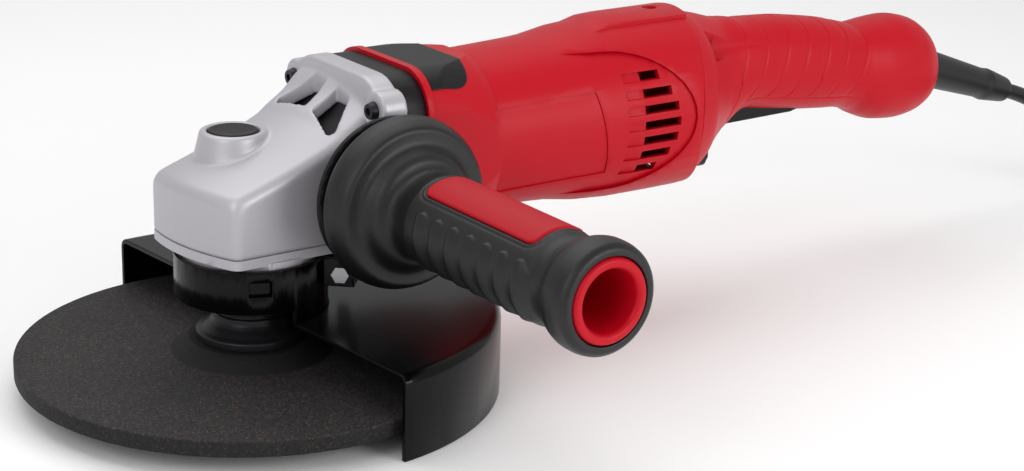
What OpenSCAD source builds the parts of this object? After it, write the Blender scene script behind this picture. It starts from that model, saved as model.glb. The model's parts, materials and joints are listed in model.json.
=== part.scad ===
// Large angle grinder with a 230 mm grinding disc, guard, side handle, tail handle and mains lead.
// The spindle runs down the Z axis and the motor lies along X, above it, with its tail towards +X.
// The origin is the centre of the spindle's free end. Lengths are in millimetres.

/* [Grinding disc] */
// Diameter of the grinding disc
disc_d = 230; // [180:1:230]
// Thickness of the disc outside its raised hub
disc_t = 8; // [6:0.5:8]
// Height of the disc's raised hub above its flat part
hub_rise = 7.3; // [6:0.1:8]
// Diameter of the top of the raised hub
hub_d = 62; // [58:1:66]
// Diameter of the bore in the disc
disc_bore_d = 22.2; // [20:0.1:24]

/* [Spindle] */
// Outside diameter of the spindle's M14 thread
spindle_thread_d = 14; // [12:0.5:14]
// Length of thread that stands out of the lock nut
spindle_free_l = 3.5; // [2:0.1:4]
// Thickness of the lock nut's flange
nut_t = 5.3; // [4.5:0.1:6]
// Diameter of the inner flange
flange_d = 55; // [48:0.5:58]
// Diameter of the inner flange's hub
flange_hub_d = 37.6; // [30:0.2:38]
// Outside diameter of the lower spindle bearing
spindle_bearing_d = 40; // [38:0.5:42]

/* [Gears] */
// Pitch radius of the crown gear
crown_r = 25.2; // [24.8:0.1:25.4]
// Teeth on the pinion
pinion_teeth = 12; // [12:1:14]
// Face width of the bevel teeth
face_w = 8; // [6:0.5:8.5]

/* [Gear case] */
// Half of the width across the gear case walls
case_half_w = 33.3; // [33:0.1:35]
// Height of the joint between the gear case and the bearing plate
joint_z = 66.7; // [66:0.1:68]
// Thickness of the bearing plate
plate_t = 4.7; // [4:0.1:5.5]
// Height of the motor axis
motor_z = 102.5; // [102:0.1:103]
// Half of the height across the rear flange of the gear case
flange_half_h = 42.5; // [42.5:0.1:44]
// Outside diameter of the lock button's boss
boss_d = 32.4; // [31:0.2:34]
// Diameter of the lock button
button_d = 24.4; // [22:0.2:25]
// Travel of the lock button
button_travel = 5; // [4.5:0.5:5]
// Distance from the motor axis across to a case screw
screw_y = 37.5; // [36.5:0.1:37.5]
// Distance from the motor axis up to a case screw
screw_z = 28.5; // [27:0.1:29]

/* [Guard] */
// Gap between the disc's rim and the guard's skirt
guard_gap = 5; // [4:0.5:8]
// Thickness of the guard's sheet
guard_t = 2.4; // [2:0.1:3]
// Height of the guard from its rim to its top
guard_h = 41.8; // [40:0.1:44]
// Angle by which the guard is turned from straight
guard_turn = 5.2; // [0:0.1:8]
// Outside diameter of the guard's collar
collar_d = 75; // [74:0.5:78]
// Height of the guard's collar
collar_h = 21.5; // [18:0.5:21.5]

/* [Motor housing] */
// Radius of the housing where it meets the front block
housing_r = 41.8; // [41.5:0.1:43]
// Radius of the housing at its rear, under the raised rim
rear_r = 46.8; // [46:0.1:48]
// Thickness of the housing wall
housing_wall = 3; // [2.5:0.1:3.2]
// Height of the raised rim round the vents
rim_h = 1.6; // [1:0.1:2]
// Number of air slots on each side
slots = 7; // [5:1:7]
// Height of an air slot
slot_h = 4.6; // [3.5:0.1:5]
// Distance between air slots
slot_pitch = 8.2; // [7.5:0.1:8.5]

/* [Motor] */
// Outside diameter of the armature's laminated core
armature_d = 45.6; // [44:0.2:46]
// Length of the laminated cores
core_l = 56; // [50:1:60]
// Diameter of the armature shaft
shaft_d = 10; // [9:0.1:10]
// Diameter of the fan
fan_d = 70; // [66:0.5:71]
// Diameter of the commutator
commutator_d = 26; // [24:0.5:28]
// Width of a carbon brush along the shaft
brush_w = 12; // [10:0.5:14]

/* [Tail handle] */
// Thickness of the handle shells
shell_wall = 3; // [2.6:0.1:3.2]
// Clearance between the housing and the handle shells
seam_gap = 0.2; // [0.1:0.05:0.4]
// Width of the paddle switch
paddle_w = 17; // [14:0.5:18]
// Angle through which the paddle presses
paddle_angle = 7; // [5:0.5:7]
// Travel of the lock-off catch
catch_travel = 3; // [2:0.5:3]

/* [Side handle] */
// Distance from the spindle to the side handle's axis
handle_x = 47; // [46:0.5:48]
// Height of the side handle's axis
handle_z = 92.4; // [92:0.1:93]
// Radius of the hand guard's rim
bell_r = 42; // [38:0.5:43]
// Radius of the grip
grip_r = 22; // [20:0.5:23]
// Length from the gear case to the end of the side handle
handle_l = 174; // [165:0.5:180]
// Radius of the hollow in the side handle's end
socket_r = 14; // [12:0.5:15]

/* [Mains lead] */
// Diameter of the cord
cord_d = 9.5; // [8:0.1:9.5]
// Radius of the middle of the coil
coil_r = 52.5; // [50:0.5:56]

/* [Hidden] */
$fn = 48;
run_gap = 0.05;      // radial clearance of a shaft in its bearing
seat_gap = 0.15;     // clearance of a piece that sits still in its seat
part_gap = 0.3;      // clearance between pieces that move past each other

// Disc, nut and inner flange, from the spindle's end upwards
nut_z = spindle_free_l;
hub_low = nut_z + nut_t;
hub_t = disc_t - 1;
hub_top = hub_low + hub_t;
disc_top = hub_top - hub_rise;
disc_low = disc_top - disc_t;
disc_r = disc_d / 2;
flange_top = hub_top + 4.2;
flange_neck_r = flange_hub_d / 2 - 1.3;
flange_hub_top = flange_top + 8.8;

// Guard, collar and the neck that they turn on
collar_r = collar_d / 2;
neck_r = collar_r - 3;
plate_z = joint_z - plate_t;
collar_top = plate_z - 2;
collar_z = collar_top - collar_h;
neck_z = collar_z - 1;
guard_inner_r = disc_r + guard_gap;
guard_outer_r = guard_inner_r + guard_t;
guard_top = disc_top + 23.3;
rest_z = guard_top - guard_h;
clamp_a = -42;
clamp_z = collar_z + 13;

// Bearings of the spindle
bearing_z = neck_z + 10.5;
bearing_h = 12;
spindle_r = spindle_thread_d / 2 + 1.5;
flange_neck_top = bearing_z - 0.5;
needle_z = 98.6;
needle_r = 8;
needle_h = 7;
spindle_top_r = 5;

// Bevel gears: their cones meet where the spindle and motor axes cross
gear_ratio = 3;
pinion_r = crown_r / gear_ratio;
crown_teeth = pinion_teeth * gear_ratio;
cone_l = sqrt(crown_r * crown_r + pinion_r * pinion_r);
crown_cone = atan(gear_ratio);
pinion_cone = 90 - crown_cone;
gear_module = 2 * pinion_r / pinion_teeth;
web_z = motor_z - 10;

// Gear case
case_front = -36.6;
front_bulge = 5.9;
front_edge_r = 5;
head_skew = 0.15;
roof_crown = 4;
flange_x = 47.5;
flange_end = 60;
ring_end = 74;
boss_x = -1.6;
boss_y = 13;
boss_top = 116.6;
boss_floor = boss_top - 10.1;
button_z = boss_floor + button_travel + 0.5;
pin_at = 14;
pin_turn = atan2(boss_y, boss_x);
pin_x = pin_at * cos(pin_turn);
pin_y = pin_at * sin(pin_turn);
pin_r = 2.5;
bearing_x = 46;
front_bearing_w = 9;
front_bearing_r = 15;
fan_room_r = 36.5;

// Housing and motor
front_w = 42;
block_end = 118;
housing_end = 258;
seam_r = 90;
seam_x = housing_end - seam_r;
bore_r = housing_r - housing_wall - 0.3;
core_x = 117;
core_end = core_x + core_l;
core_r = bore_r - seat_gap;
field_r = armature_d / 2 + 0.7;
pole_x = field_r + (core_r - field_r) * 0.337;
pole_w = (core_r - field_r) * 0.572;
pole_h = core_r * 0.443;
brush_x = 197;
rear_bearing_x = 224;
slot_x = 207;
slot_mid_z = motor_z + 0.4;

// Tail handle: each row is x, height of the centre, half width and half height
TAIL = [
    [244, 103.2, 48.2, 48.6], [258, 103.4, 47.4, 47.8], [266, 103.8, 45.6, 46.3],
    [276, 104.6, 41.0, 42.0], [285, 106.0, 37.0, 37.8], [292, 110.0, 31.5, 31.8],
    [298, 113.6, 26.8, 27.0], [306, 114.4, 23.8, 25.6], [320, 113.1, 23.0, 26.4],
    [336, 111.4, 23.2, 27.0], [352, 109.2, 23.4, 26.9], [368, 107.0, 23.2, 26.4],
    [382, 104.6, 22.4, 25.4], [390, 102.4, 22.8, 25.4], [398, 100.2, 24.6, 27.4],
    [410, 98.6, 26.8, 30.0], [424, 98.2, 27.4, 31.0], [436, 97.6, 26.0, 29.4],
    [446, 96.4, 22.4, 25.0], [452.5, 94.8, 17.6, 19.0], [456, 93.6, 13.6, 14.0]
];
tail_end = 456;
relief_tilt = 17.7;
relief_z = 93.4;
relief_l = 78;
relief_r = 11.4;
paddle_pivot_x = 348;
paddle_pivot_z = 89.5;
paddle_low = 82.4;
paddle_front = 293.2;
plunger_x = 318;
catch_x = 276;
catch_w = 10;
catch_low = 62;
tail_screw_spots = [[303, 127], [352, 122], [398, 112], [420, 116]];
mount_screw_y = 26;
mount_screw_z = 30.4;

// Side handle, measured outwards from the gear case boss
boss_face = screw_y + 9.5;
ring_r = 38.8;
bell_start = 9.5;
grip_start = 46;
grip_end = handle_l - 35;

// Route of the cord from the strain relief to the coil: x, y and height above the surface
coil_layers = 3;
coil_rows = 4;
coil_x = 668;
coil_y = -70;
CORD = [
    [529, 0, 80.2], [536, 0, 78.0], [545, 0, 74.9], [556, 0, 70.4], [568, -0.1, 64.2],
    [580, -0.3, 56.4], [592, -0.6, 47.2], [604, -1.0, 37.2], [615, -1.5, 28.0], [626, -2.0, 19.6],
    [637, -2.4, 12.6], [648, -2.8, 7.6], [658, -3.1, 5.2], [668, -3.25, 4.75]
];
LEAD = [
    [668, -136.75, 14.25], [655, -137.1, 14.1], [642, -138.6, 13.6], [630, -141.3, 13.6],
    [618, -145.0, 14.6], [607, -148.6, 16.4], [598, -151.4, 17.6]
];
plug_turn = 17.3;
plug_r = 17.4;

// Roof of the gear case head, from the front edge to the flange: x and height along the sides
ROOF = [[-37, 92.7], [26, 117.2], [30, 120.3], [41, 127.9], [50, 136.5], [60, 140]];

// Distances from the middle at which the head's rounded front is drawn
FRONT = [4, 10, 16, 21, 25, 28, 30.3, 31.5, 32.5, 33.1];

// One vent window in the ramp behind the boss: corners in plan
VENT = [[46, 5], [46, 15.6], [32, 26], [28.6, 24.5], [32.6, 3.2]];

// Distance of the plate's screws from the spindle, towards the head and towards the motor
PLATE_SCREWS = [
    [-27, case_half_w - 5.8], [-24.5, 4 - case_half_w], [30, case_half_w - 5.3],
    [30, 5.3 - case_half_w]
];

// ---- shared shapes ----

// A closed solid through rings of points that all have the same count. A strip's rings run out
// along one side of a wall and back along the other.
module loft(rings, strip = false) {
    n = len(rings[0]);
    m = len(rings);
    cap = strip ? [for (i = [0 : n / 2 - 2]) [i, i + 1, n - 2 - i, n - 1 - i]]
        : [[for (i = [0 : n - 1]) i]];
    polyhedron(
        points = [for (r = rings) for (p = r) p],
        faces = concat(
            cap,
            [for (c = cap) [for (i = [len(c) - 1 : -1 : 0]) (m - 1) * n + c[i]]],
            [for (k = [0 : m - 2]) for (i = [0 : n - 1]) let (j = (i + 1) % n)
                [k * n + j, k * n + i, (k + 1) * n + i]],
            [for (k = [0 : m - 2]) for (i = [0 : n - 1]) let (j = (i + 1) % n)
                [k * n + j, (k + 1) * n + i, (k + 1) * n + j]]
        )
    );
}

// A rectangle with round corners, centred
module round_rect(w, h, r) {
    square([w - 2 * r, h], center = true);
    square([w, h - 2 * r], center = true);
    for (x = [-1, 1], y = [-1, 1])
        translate([x * (w / 2 - r), y * (h / 2 - r)]) circle(r);
}

// Stands a shape drawn along Z on the motor axis, starting at x
module along_motor(x) {
    translate([x, 0, motor_z]) rotate([90, 0, 90]) children();
}

// Stands a shape drawn along Z on the side handle's axis, starting at the gear case boss
module along_handle(d = 0) {
    translate([handle_x, -boss_face - d, handle_z]) rotate([90, 0, 0]) children();
}

// A round bar with a hole
module tube(r, bore, h) {
    difference() {
        cylinder(r = r, h = h);
        translate([0, 0, -1]) cylinder(r = bore, h = h + 2);
    }
}

// A screw with its head below z = 0 and its shank upwards
module screw(shank_r, l, head_r, head_h) {
    cylinder(r = shank_r, h = l);
    difference() {
        translate([0, 0, -head_h]) cylinder(r1 = head_r * 0.8, r2 = head_r, h = head_h);
        translate([0, 0, -head_h - 1]) cylinder(r = head_r * 0.45, h = head_h * 0.5 + 1, $fn = 6);
    }
}

// A compression spring drawn as its closed coils, standing on z = 0
module spring(r, wire, h) {
    turns = floor(h / (wire * 1.8));
    for (k = [0 : turns - 1])
        translate([0, 0, k * (h - wire) / (turns - 1)]) tube(r, r - wire, wire);
    for (a = [0, 180]) rotate(a) translate([r - wire, -wire / 4, wire / 2])
        cube([wire * 0.8, wire / 2, h - wire]);
}

// A bevel gear's toothed rim: apex at the origin, with a flat back and a round hole
module bevel_rim(teeth, cone, outer, inner, hole, face, back) {
    up = atan(0.95 * gear_module / outer);
    down = atan(1.25 * gear_module / outer);
    pitch = 360 / teeth;
    profile = [[-0.5, -down], [-0.31, -down], [-0.12, up], [0.12, up], [0.31, -down]];
    spots = [for (k = [0 : teeth - 1]) for (p = profile) [(k + p[0]) * pitch, cone + p[1]]];
    function polar(l, a, c) = [l * sin(c) * cos(a), l * sin(c) * sin(a), l * cos(c)];
    root = outer * sin(cone - down);
    rings = [
        [for (s = spots) polar(outer, s[0], s[1])],
        [for (s = spots) polar(inner, s[0], s[1])],
        [for (s = spots) [hole * cos(s[0]), hole * sin(s[0]), face]],
        [for (s = spots) [hole * cos(s[0]), hole * sin(s[0]), back]],
        [for (s = spots) [root * cos(s[0]), root * sin(s[0]), back]]
    ];
    n = len(spots);
    polyhedron(
        points = [for (r = rings) for (p = r) p],
        faces = [for (k = [0 : n - 1]) let (j = (k + 1) % n)
            for (f = [0 : 4]) let (g = (f + 1) % 5)
                each [[f * n + k, f * n + j, g * n + k], [f * n + j, g * n + j, g * n + k]]]
    );
}

// ---- gear case ----

// Place of the head's front wall at a distance y from the middle, with a round corner at its end
function head_front(y) = let (c = 3, e = max(abs(y) - case_half_w + c, 0))
    case_front + front_bulge * pow(y / case_half_w, 2) + c - sqrt(c * c - e * e);

// How far a round edge of radius r lies under the roof at a distance d from the wall
function edge_drop(d, r) = let (e = max(r - max(d, 0), 0)) r - sqrt(r * r - e * e);

function head_top(x, y) = lookup(x, ROOF) + roof_crown * (1 - pow(y / case_half_w, 2))
    - edge_drop(x - head_front(y), front_edge_r) - edge_drop(case_half_w - abs(y), front_edge_r);

// One section of the head, skewed a little: its foot, then its roof from side to side
function head_ring(x, w) = [for (q = concat(
    [[-w, joint_z], [w, joint_z]],
    [for (t = [0 : 15 : 180]) [w * cos(t), head_top(x, w * cos(t))]]
)) [x - head_skew * q[0], q[0], q[1]]];

module gear_case() {
    cavity_r = crown_r + 1.1;
    color("silver") difference() {
        union() {
            loft(concat(
                [for (y = FRONT) head_ring(head_front(y), y)],
                [for (x = [-27.6, -24, -18, -10, 0, 10, 19, 26, 30, 35, 41, 47, 53])
                    head_ring(x, case_half_w)]
            ));
            along_motor(flange_x) linear_extrude(flange_end - flange_x)
                round_rect(2 * front_w, 2 * flange_half_h, 20);
            for (y = [-1, 1], z = [-1, 1]) translate([0, y * screw_y, z * screw_z])
                along_motor(flange_x - 1) cylinder(r = 9.2, h = flange_end - flange_x + 1);
            translate([boss_x, boss_y, 0]) rotate_extrude() polygon([
                [0, 96], [boss_d / 2 + 2.9, 96], [boss_d / 2 + 2.6, boss_top - 12],
                [boss_d / 2 + 0.4, boss_top - 1.5], [boss_d / 2 - 0.6, boss_top], [0, boss_top]
            ]);
            translate([handle_x, -boss_face, handle_z]) rotate([-90, 0, 0])
                cylinder(r = 12.8, h = 2 * boss_face);
        }
        // room for the crown gear, under a cone that follows its teeth
        rotate_extrude() polygon([
            [0, joint_z - 1], [cavity_r, joint_z - 1], [cavity_r, 95.8], [17, 99], [0, 99]
        ]);
        translate([0, 0, needle_z]) cylinder(r = needle_r + seat_gap, h = needle_h + 0.4);
        // room for the pinion, and the front bearing's seat
        along_motor(13) cylinder(r1 = 7.6, r2 = 11, h = 13.1);
        along_motor(26) cylinder(r = 11, h = flange_end - 26);
        along_motor(bearing_x) cylinder(r = front_bearing_r + seat_gap, h = 12);
        along_motor(flange_end - 4) cylinder(r = fan_room_r, h = 6);
        // duct behind the vent windows
        translate([0, 25, 0]) rotate([90, 0, 0]) linear_extrude(50) polygon([
            [30, 115.5], [34, 115.5], [36, 119.6], [flange_end - 2, 119.6],
            [flange_end - 2, 131], [47, 128], [30, 116.5]
        ]);
        for (s = [0, 1]) mirror([0, s, 0]) translate([0, 0, 115.9])
            linear_extrude(20) polygon(VENT);
        // lock button and its pin
        translate([boss_x, boss_y, boss_floor]) cylinder(r = button_d / 2 + 0.5, h = 20);
        translate([pin_x, pin_y, 90]) cylinder(r = pin_r + run_gap, h = 30);
        // side handle threads, one on each side
        for (s = [-1, 1]) translate([handle_x, s * boss_face, handle_z])
            rotate([s * 90, 0, 0]) translate([0, 0, -1])
            cylinder(r = spindle_thread_d / 2 + run_gap, h = 19);
        for (y = [-1, 1], z = [-1, 1]) translate([0, y * screw_y, z * screw_z]) {
                along_motor(flange_x - 2) cylinder(r = 2.45, h = 30);
                along_motor(flange_x - 6) cylinder(r = 4.9, h = 5);
            }
        for (p = PLATE_SCREWS) translate([p[0], p[1], joint_z - 1])
            cylinder(r = 2.05, h = 12);
    }
}

module air_guide_ring() {
    color([0.13, 0.13, 0.13]) difference() {
        along_motor(flange_end) linear_extrude(ring_end - flange_end)
            round_rect(2 * front_w - 1, 2 * flange_half_h - 2, 19.5);
        along_motor(flange_end - 1) cylinder(r = fan_room_r, h = ring_end - flange_end - 1.5);
        along_motor(flange_end) cylinder(r = 22, h = 20);
        for (y = [-1, 1], z = [-1, 1]) translate([0, y * screw_y, z * screw_z])
            along_motor(flange_end - 1) cylinder(r = 2.45, h = 30);
    }
}

module bearing_plate() {
    half = concat([0], FRONT, [case_half_w]);
    edge = concat([for (i = [len(half) - 1 : -1 : 1]) -half[i]], half);
    outline = concat(
        [for (y = edge) [head_front(y) - head_skew * y, y]],
        [[flange_x - 1.2, case_half_w], [flange_x - 1.2, -case_half_w]]
    );
    color("silver") difference() {
        union() {
            translate([0, 0, plate_z]) linear_extrude(plate_t) polygon(outline);
            translate([0, 0, neck_z]) cylinder(r = neck_r, h = plate_z - neck_z + 1);
        }
        translate([0, 0, neck_z - 1]) cylinder(r = flange_neck_r + 0.5, h = 40);
        translate([0, 0, bearing_z])
            cylinder(r = spindle_bearing_d / 2 + seat_gap, h = 40);
        for (p = PLATE_SCREWS) translate([p[0], p[1], plate_z - 1]) cylinder(r = 2.05, h = 12);
    }
}

module plate_screws() {
    color([0.2, 0.2, 0.2]) for (p = PLATE_SCREWS)
        translate([p[0], p[1], plate_z]) screw(2, 11, 3, 1.6);
}

module case_screws() {
    color([0.1, 0.1, 0.1]) for (y = [-1, 1], z = [-1, 1])
        translate([0, y * screw_y, z * screw_z])
            along_motor(flange_x - 1) screw(2.4, 90 - flange_x, 4.6, 3.4);
}

// ---- spindle and what turns with it ----

module spindle() {
    r = spindle_thread_d / 2;
    color([0.55, 0.56, 0.58]) rotate_extrude() polygon([
        [0, 0], [r, 0], [r, nut_z], [r - 0.4, nut_z + 0.1], [r - 0.4, nut_z + 0.6],
        [r, nut_z + 0.7], [r, flange_top + 4], [spindle_r, flange_top + 4],
        [spindle_r, bearing_z + bearing_h + 0.3], [spindle_r + 2.5, bearing_z + bearing_h + 0.3],
        [spindle_r + 2.5, joint_z], [r + 0.5, joint_z], [r + 0.5, web_z],
        [spindle_top_r, web_z + 0.5], [spindle_top_r, needle_z + needle_h], [0, needle_z + needle_h]
    ]);
}

module crown_gear() {
    back_z = motor_z - 20;
    hole = crown_r - face_w - 0.2;
    color([0.35, 0.35, 0.37]) difference() {
        union() {
            translate([0, 0, motor_z]) rotate([180, 0, 0])
                bevel_rim(crown_teeth, crown_cone, cone_l, cone_l - face_w, hole, 10, 20);
            translate([0, 0, back_z]) cylinder(r = hole + 0.3, h = web_z - back_z);
            translate([0, 0, joint_z + 0.1]) cylinder(r = 13, h = back_z - joint_z);
        }
        translate([0, 0, joint_z - 1]) cylinder(r = spindle_thread_d / 2 + 0.52, h = 60);
        for (a = [0 : 45 : 315]) rotate(a + pin_turn) translate([pin_at, 0, web_z - 6])
            cylinder(r = pin_r + part_gap, h = 20);
    }
}

module inner_flange() {
    pilot = disc_bore_d / 2 - 0.1;
    r = flange_d / 2;
    hub = flange_hub_d / 2;
    color([0.16, 0.16, 0.17]) rotate_extrude() polygon([
        [spindle_thread_d / 2 + 0.03, hub_top - 3], [pilot, hub_top - 3], [pilot, hub_top],
        [r, hub_top], [r, flange_top - 0.8], [r - 0.8, flange_top],
        [r - 3, flange_top], [hub + 2.5, flange_top - 1], [hub, flange_top],
        [hub, flange_hub_top - 1.2], [hub - 1.2, flange_hub_top], [flange_neck_r, flange_hub_top],
        [flange_neck_r, flange_neck_top], [spindle_r + 0.03, flange_neck_top],
        [spindle_r + 0.03, flange_top + 3.9], [spindle_thread_d / 2 + 0.03, flange_top + 3.9]
    ]);
}

module grinding_disc() {
    color([0.22, 0.21, 0.2]) rotate_extrude($fn = 96) polygon([
        [disc_bore_d / 2, hub_low], [hub_d / 2 - 3, hub_low], [hub_d / 2 + 6, disc_low],
        [disc_r, disc_low], [disc_r, disc_top], [hub_d / 2 + 9, disc_top],
        [hub_d / 2, hub_top], [disc_bore_d / 2, hub_top]
    ]);
}

module lock_nut() {
    pilot = disc_bore_d / 2 - 0.1;
    color([0.2, 0.2, 0.21]) difference() {
        union() {
            translate([0, 0, nut_z]) cylinder(r1 = 18, r2 = 19, h = nut_t);
            translate([0, 0, nut_z]) cylinder(r = pilot, h = nut_t + 3.5);
        }
        translate([0, 0, nut_z - 1]) cylinder(r = spindle_thread_d / 2 + run_gap, h = 20);
        for (a = [0, 180]) rotate(a) translate([15, 0, nut_z - 1]) cylinder(r = 2.5, h = 4.5);
    }
}

module spindle_bearing() {
    color([0.7, 0.72, 0.75]) translate([0, 0, bearing_z])
        tube(spindle_bearing_d / 2, spindle_r + run_gap, bearing_h);
}

module needle_bearing() {
    color([0.7, 0.72, 0.75]) translate([0, 0, needle_z])
        tube(needle_r, spindle_top_r + run_gap, needle_h);
}

// ---- lock button ----

module lock_button() {
    r = button_d / 2;
    color([0.08, 0.08, 0.08]) difference() {
        translate([boss_x, boss_y, button_z]) rotate_extrude() polygon([
            [0, 0], [r, 0], [r, 3.8], [r - 0.8, 4.6], [r * 0.7, 3.9], [r * 0.35, 3.4], [0, 3.3]
        ]);
        translate([pin_x, pin_y, button_z - 1]) cylinder(r = 4.2, h = 2.5);
        translate([pin_x, pin_y, button_z - 1]) cylinder(r = pin_r, h = 3);
    }
}

module lock_pin() {
    color([0.6, 0.6, 0.62]) translate([pin_x, pin_y, web_z + 1.6])
        cylinder(r = pin_r, h = button_z + 2 - web_z - 1.6);
}

module lock_spring() {
    color([0.5, 0.5, 0.5]) translate([pin_x, pin_y, boss_floor])
        spring(3.9, 1, button_z + 1.4 - boss_floor);
}

// ---- guard ----

module on_clamp() {
    rotate(clamp_a) translate([collar_r, 0, clamp_z]) children();
}

module guard_shell() {
    f = 5;
    arc = [for (a = [0 : 15 : 90])
        [guard_outer_r - f + f * sin(a), guard_top - f + f * cos(a)]];
    inner = [for (a = [90 : -15 : 0])
        [guard_outer_r - f + (f - guard_t) * sin(a), guard_top - f + (f - guard_t) * cos(a)]];
    color([0.07, 0.07, 0.07]) rotate(guard_turn - 90) rotate_extrude(angle = 180, $fn = 96)
        polygon(concat(
            [[collar_r + seat_gap, guard_top]], arc, [[guard_outer_r, rest_z]],
            [[guard_inner_r, rest_z]], inner, [[collar_r + seat_gap, guard_top - guard_t]]
        ));
}

module guard_collar() {
    inner = neck_r + 0.3;
    color([0.07, 0.07, 0.07]) difference() {
        union() {
            difference() {
                translate([0, 0, guard_top - guard_t])
                    cylinder(r = collar_r, h = collar_top - guard_top + guard_t);
                rotate(guard_turn) translate([-60, -60, guard_top - guard_t - 1])
                    cube([60, 120, collar_z - guard_top + guard_t + 1]);
            }
            on_clamp() for (s = [-1, 1]) translate([-1.5, s * 3.5 - 2, -7]) cube([16, 4, 14]);
        }
        translate([0, 0, guard_top - guard_t - 1])
            cylinder(r = inner, h = collar_top - guard_top + guard_t + 2);
        on_clamp() translate([-5, -1.5, -20]) cube([8, 3, 40]);
        on_clamp() translate([8, 20, 0]) rotate([90, 0, 0]) cylinder(r = 2.6, h = 40);
        // latch window
        rotate(-112) translate([neck_r - 2, -5.5, clamp_z - 4]) cube([8, 11, 7]);
    }
}

module clamp_bolt() {
    color([0.75, 0.75, 0.77]) on_clamp() translate([8, 0, 0]) {
        translate([0, 5.4, 0]) rotate([90, 0, 0]) cylinder(r = 2.5, h = 13.5);
        translate([0, -5.6, 0]) rotate([90, 0, 0]) cylinder(r = 4.4, h = 3.4, $fn = 6);
    }
}

module clamp_lever() {
    eye = 5;
    color([0.6, 0.6, 0.62]) on_clamp() translate([8, 5.5 + eye + part_gap, -5]) {
        cylinder(r = eye, h = 10);
        linear_extrude(6.5) polygon([[eye - 0.2, 0], [-5.2, 32], [-10.9, 30.2], [0.2 - eye, 0]]);
        translate([-8, 31, 0]) cylinder(r = 3, h = 6.5);
    }
}

// ---- motor housing ----

HOUSING = [
    [housing_r - 0.8, ring_end], [housing_r, 126], [housing_r + 1.2, 157], [rear_r - 1.8, 185],
    [rear_r - 0.3, 205], [rear_r, 230], [rear_r, 250], [rear_r - 0.6, 262]
];

// A shape turned about the motor axis, from pairs of radius and x
module turned(points) {
    along_motor(0) rotate_extrude($fn = 96) polygon(points);
}

// A shape seen from the side, carried through the whole width
module through_sides(points) {
    translate([0, 70, 0]) rotate([90, 0, 0]) linear_extrude(140) polygon(points);
}

module housing_outside() {
    turned(concat([[0, ring_end]], HOUSING, [[0, 262]]));
    // front block with round corners, cut back by a cone behind
    intersection() {
        along_motor(ring_end) linear_extrude(block_end - ring_end)
            round_rect(2 * front_w, 2 * front_w, 20);
        along_motor(ring_end) cylinder(r1 = 54, r2 = housing_r + 0.6, h = 48);
    }
    // lip along the top of the front edge
    intersection() {
        along_motor(ring_end) linear_extrude(4)
            round_rect(2 * front_w + 3, 2 * front_w + 3, 21.5);
        translate([ring_end - 1, -60, motor_z + 12]) cube([10, 120, 60]);
    }
    // raised skin with a sunk field round the vents
    difference() {
        turned([[0, 165], [housing_r + 1.6, 165], [rear_r - 1.8 + rim_h, 185],
            [rear_r - 0.3 + rim_h, 205], [rear_r + rim_h, 230], [rear_r + rim_h, 250],
            [rear_r - 0.6 + rim_h, 262], [0, 262]]);
        through_sides(concat(
            [[120, motor_z + 38], [120, motor_z - 36]],
            [for (a = [-90 : 10 : 90]) [190 + 50 * cos(a), motor_z + 1 + 37 * sin(a)]]
        ));
    }
    // raised crown over the rear
    intersection() {
        turned([[0, 184], [rear_r - 2, 184], [rear_r + rim_h + 1.2, 204],
            [rear_r + rim_h + 1.8, 215], [rear_r + rim_h + 1.8, 262], [0, 262]]);
        translate([170, -15, motor_z]) cube([100, 30, 80]);
    }
}

module housing_inside() {
    turned([[0, ring_end - 1], [bore_r, ring_end - 1], [bore_r, 180],
        [rear_r - housing_wall, 200], [rear_r - housing_wall, 263], [0, 263]]);
}

// Bearing bridge, brush holder seats and the bosses of the handle's screws
module housing_mounts() {
    difference() {
        union() {
            along_motor(rear_bearing_x - 2) cylinder(r = 17, h = 10);
            translate([rear_bearing_x - 2, -5, motor_z - 44.6]) cube([10, 10, 89.2]);
        }
        along_motor(rear_bearing_x) cylinder(r = 11 + seat_gap, h = 12);
        along_motor(rear_bearing_x - 5) cylinder(r = 8, h = 12);
    }
    for (s = [0, 1]) mirror([0, s, 0]) difference() {
        translate([brush_x - 10, 36, motor_z - 8]) cube([20, 8, 16]);
        translate([brush_x - brush_w / 2 - 1.65, 30, motor_z - 5.65])
            cube([brush_w + 3.3, 11.85, 11.3]);
    }
    for (y = [-1, 1], z = [-1, 1]) translate([0, y * mount_screw_y, z * mount_screw_z])
        along_motor(236) cylinder(r = 5, h = 24);
}

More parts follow.
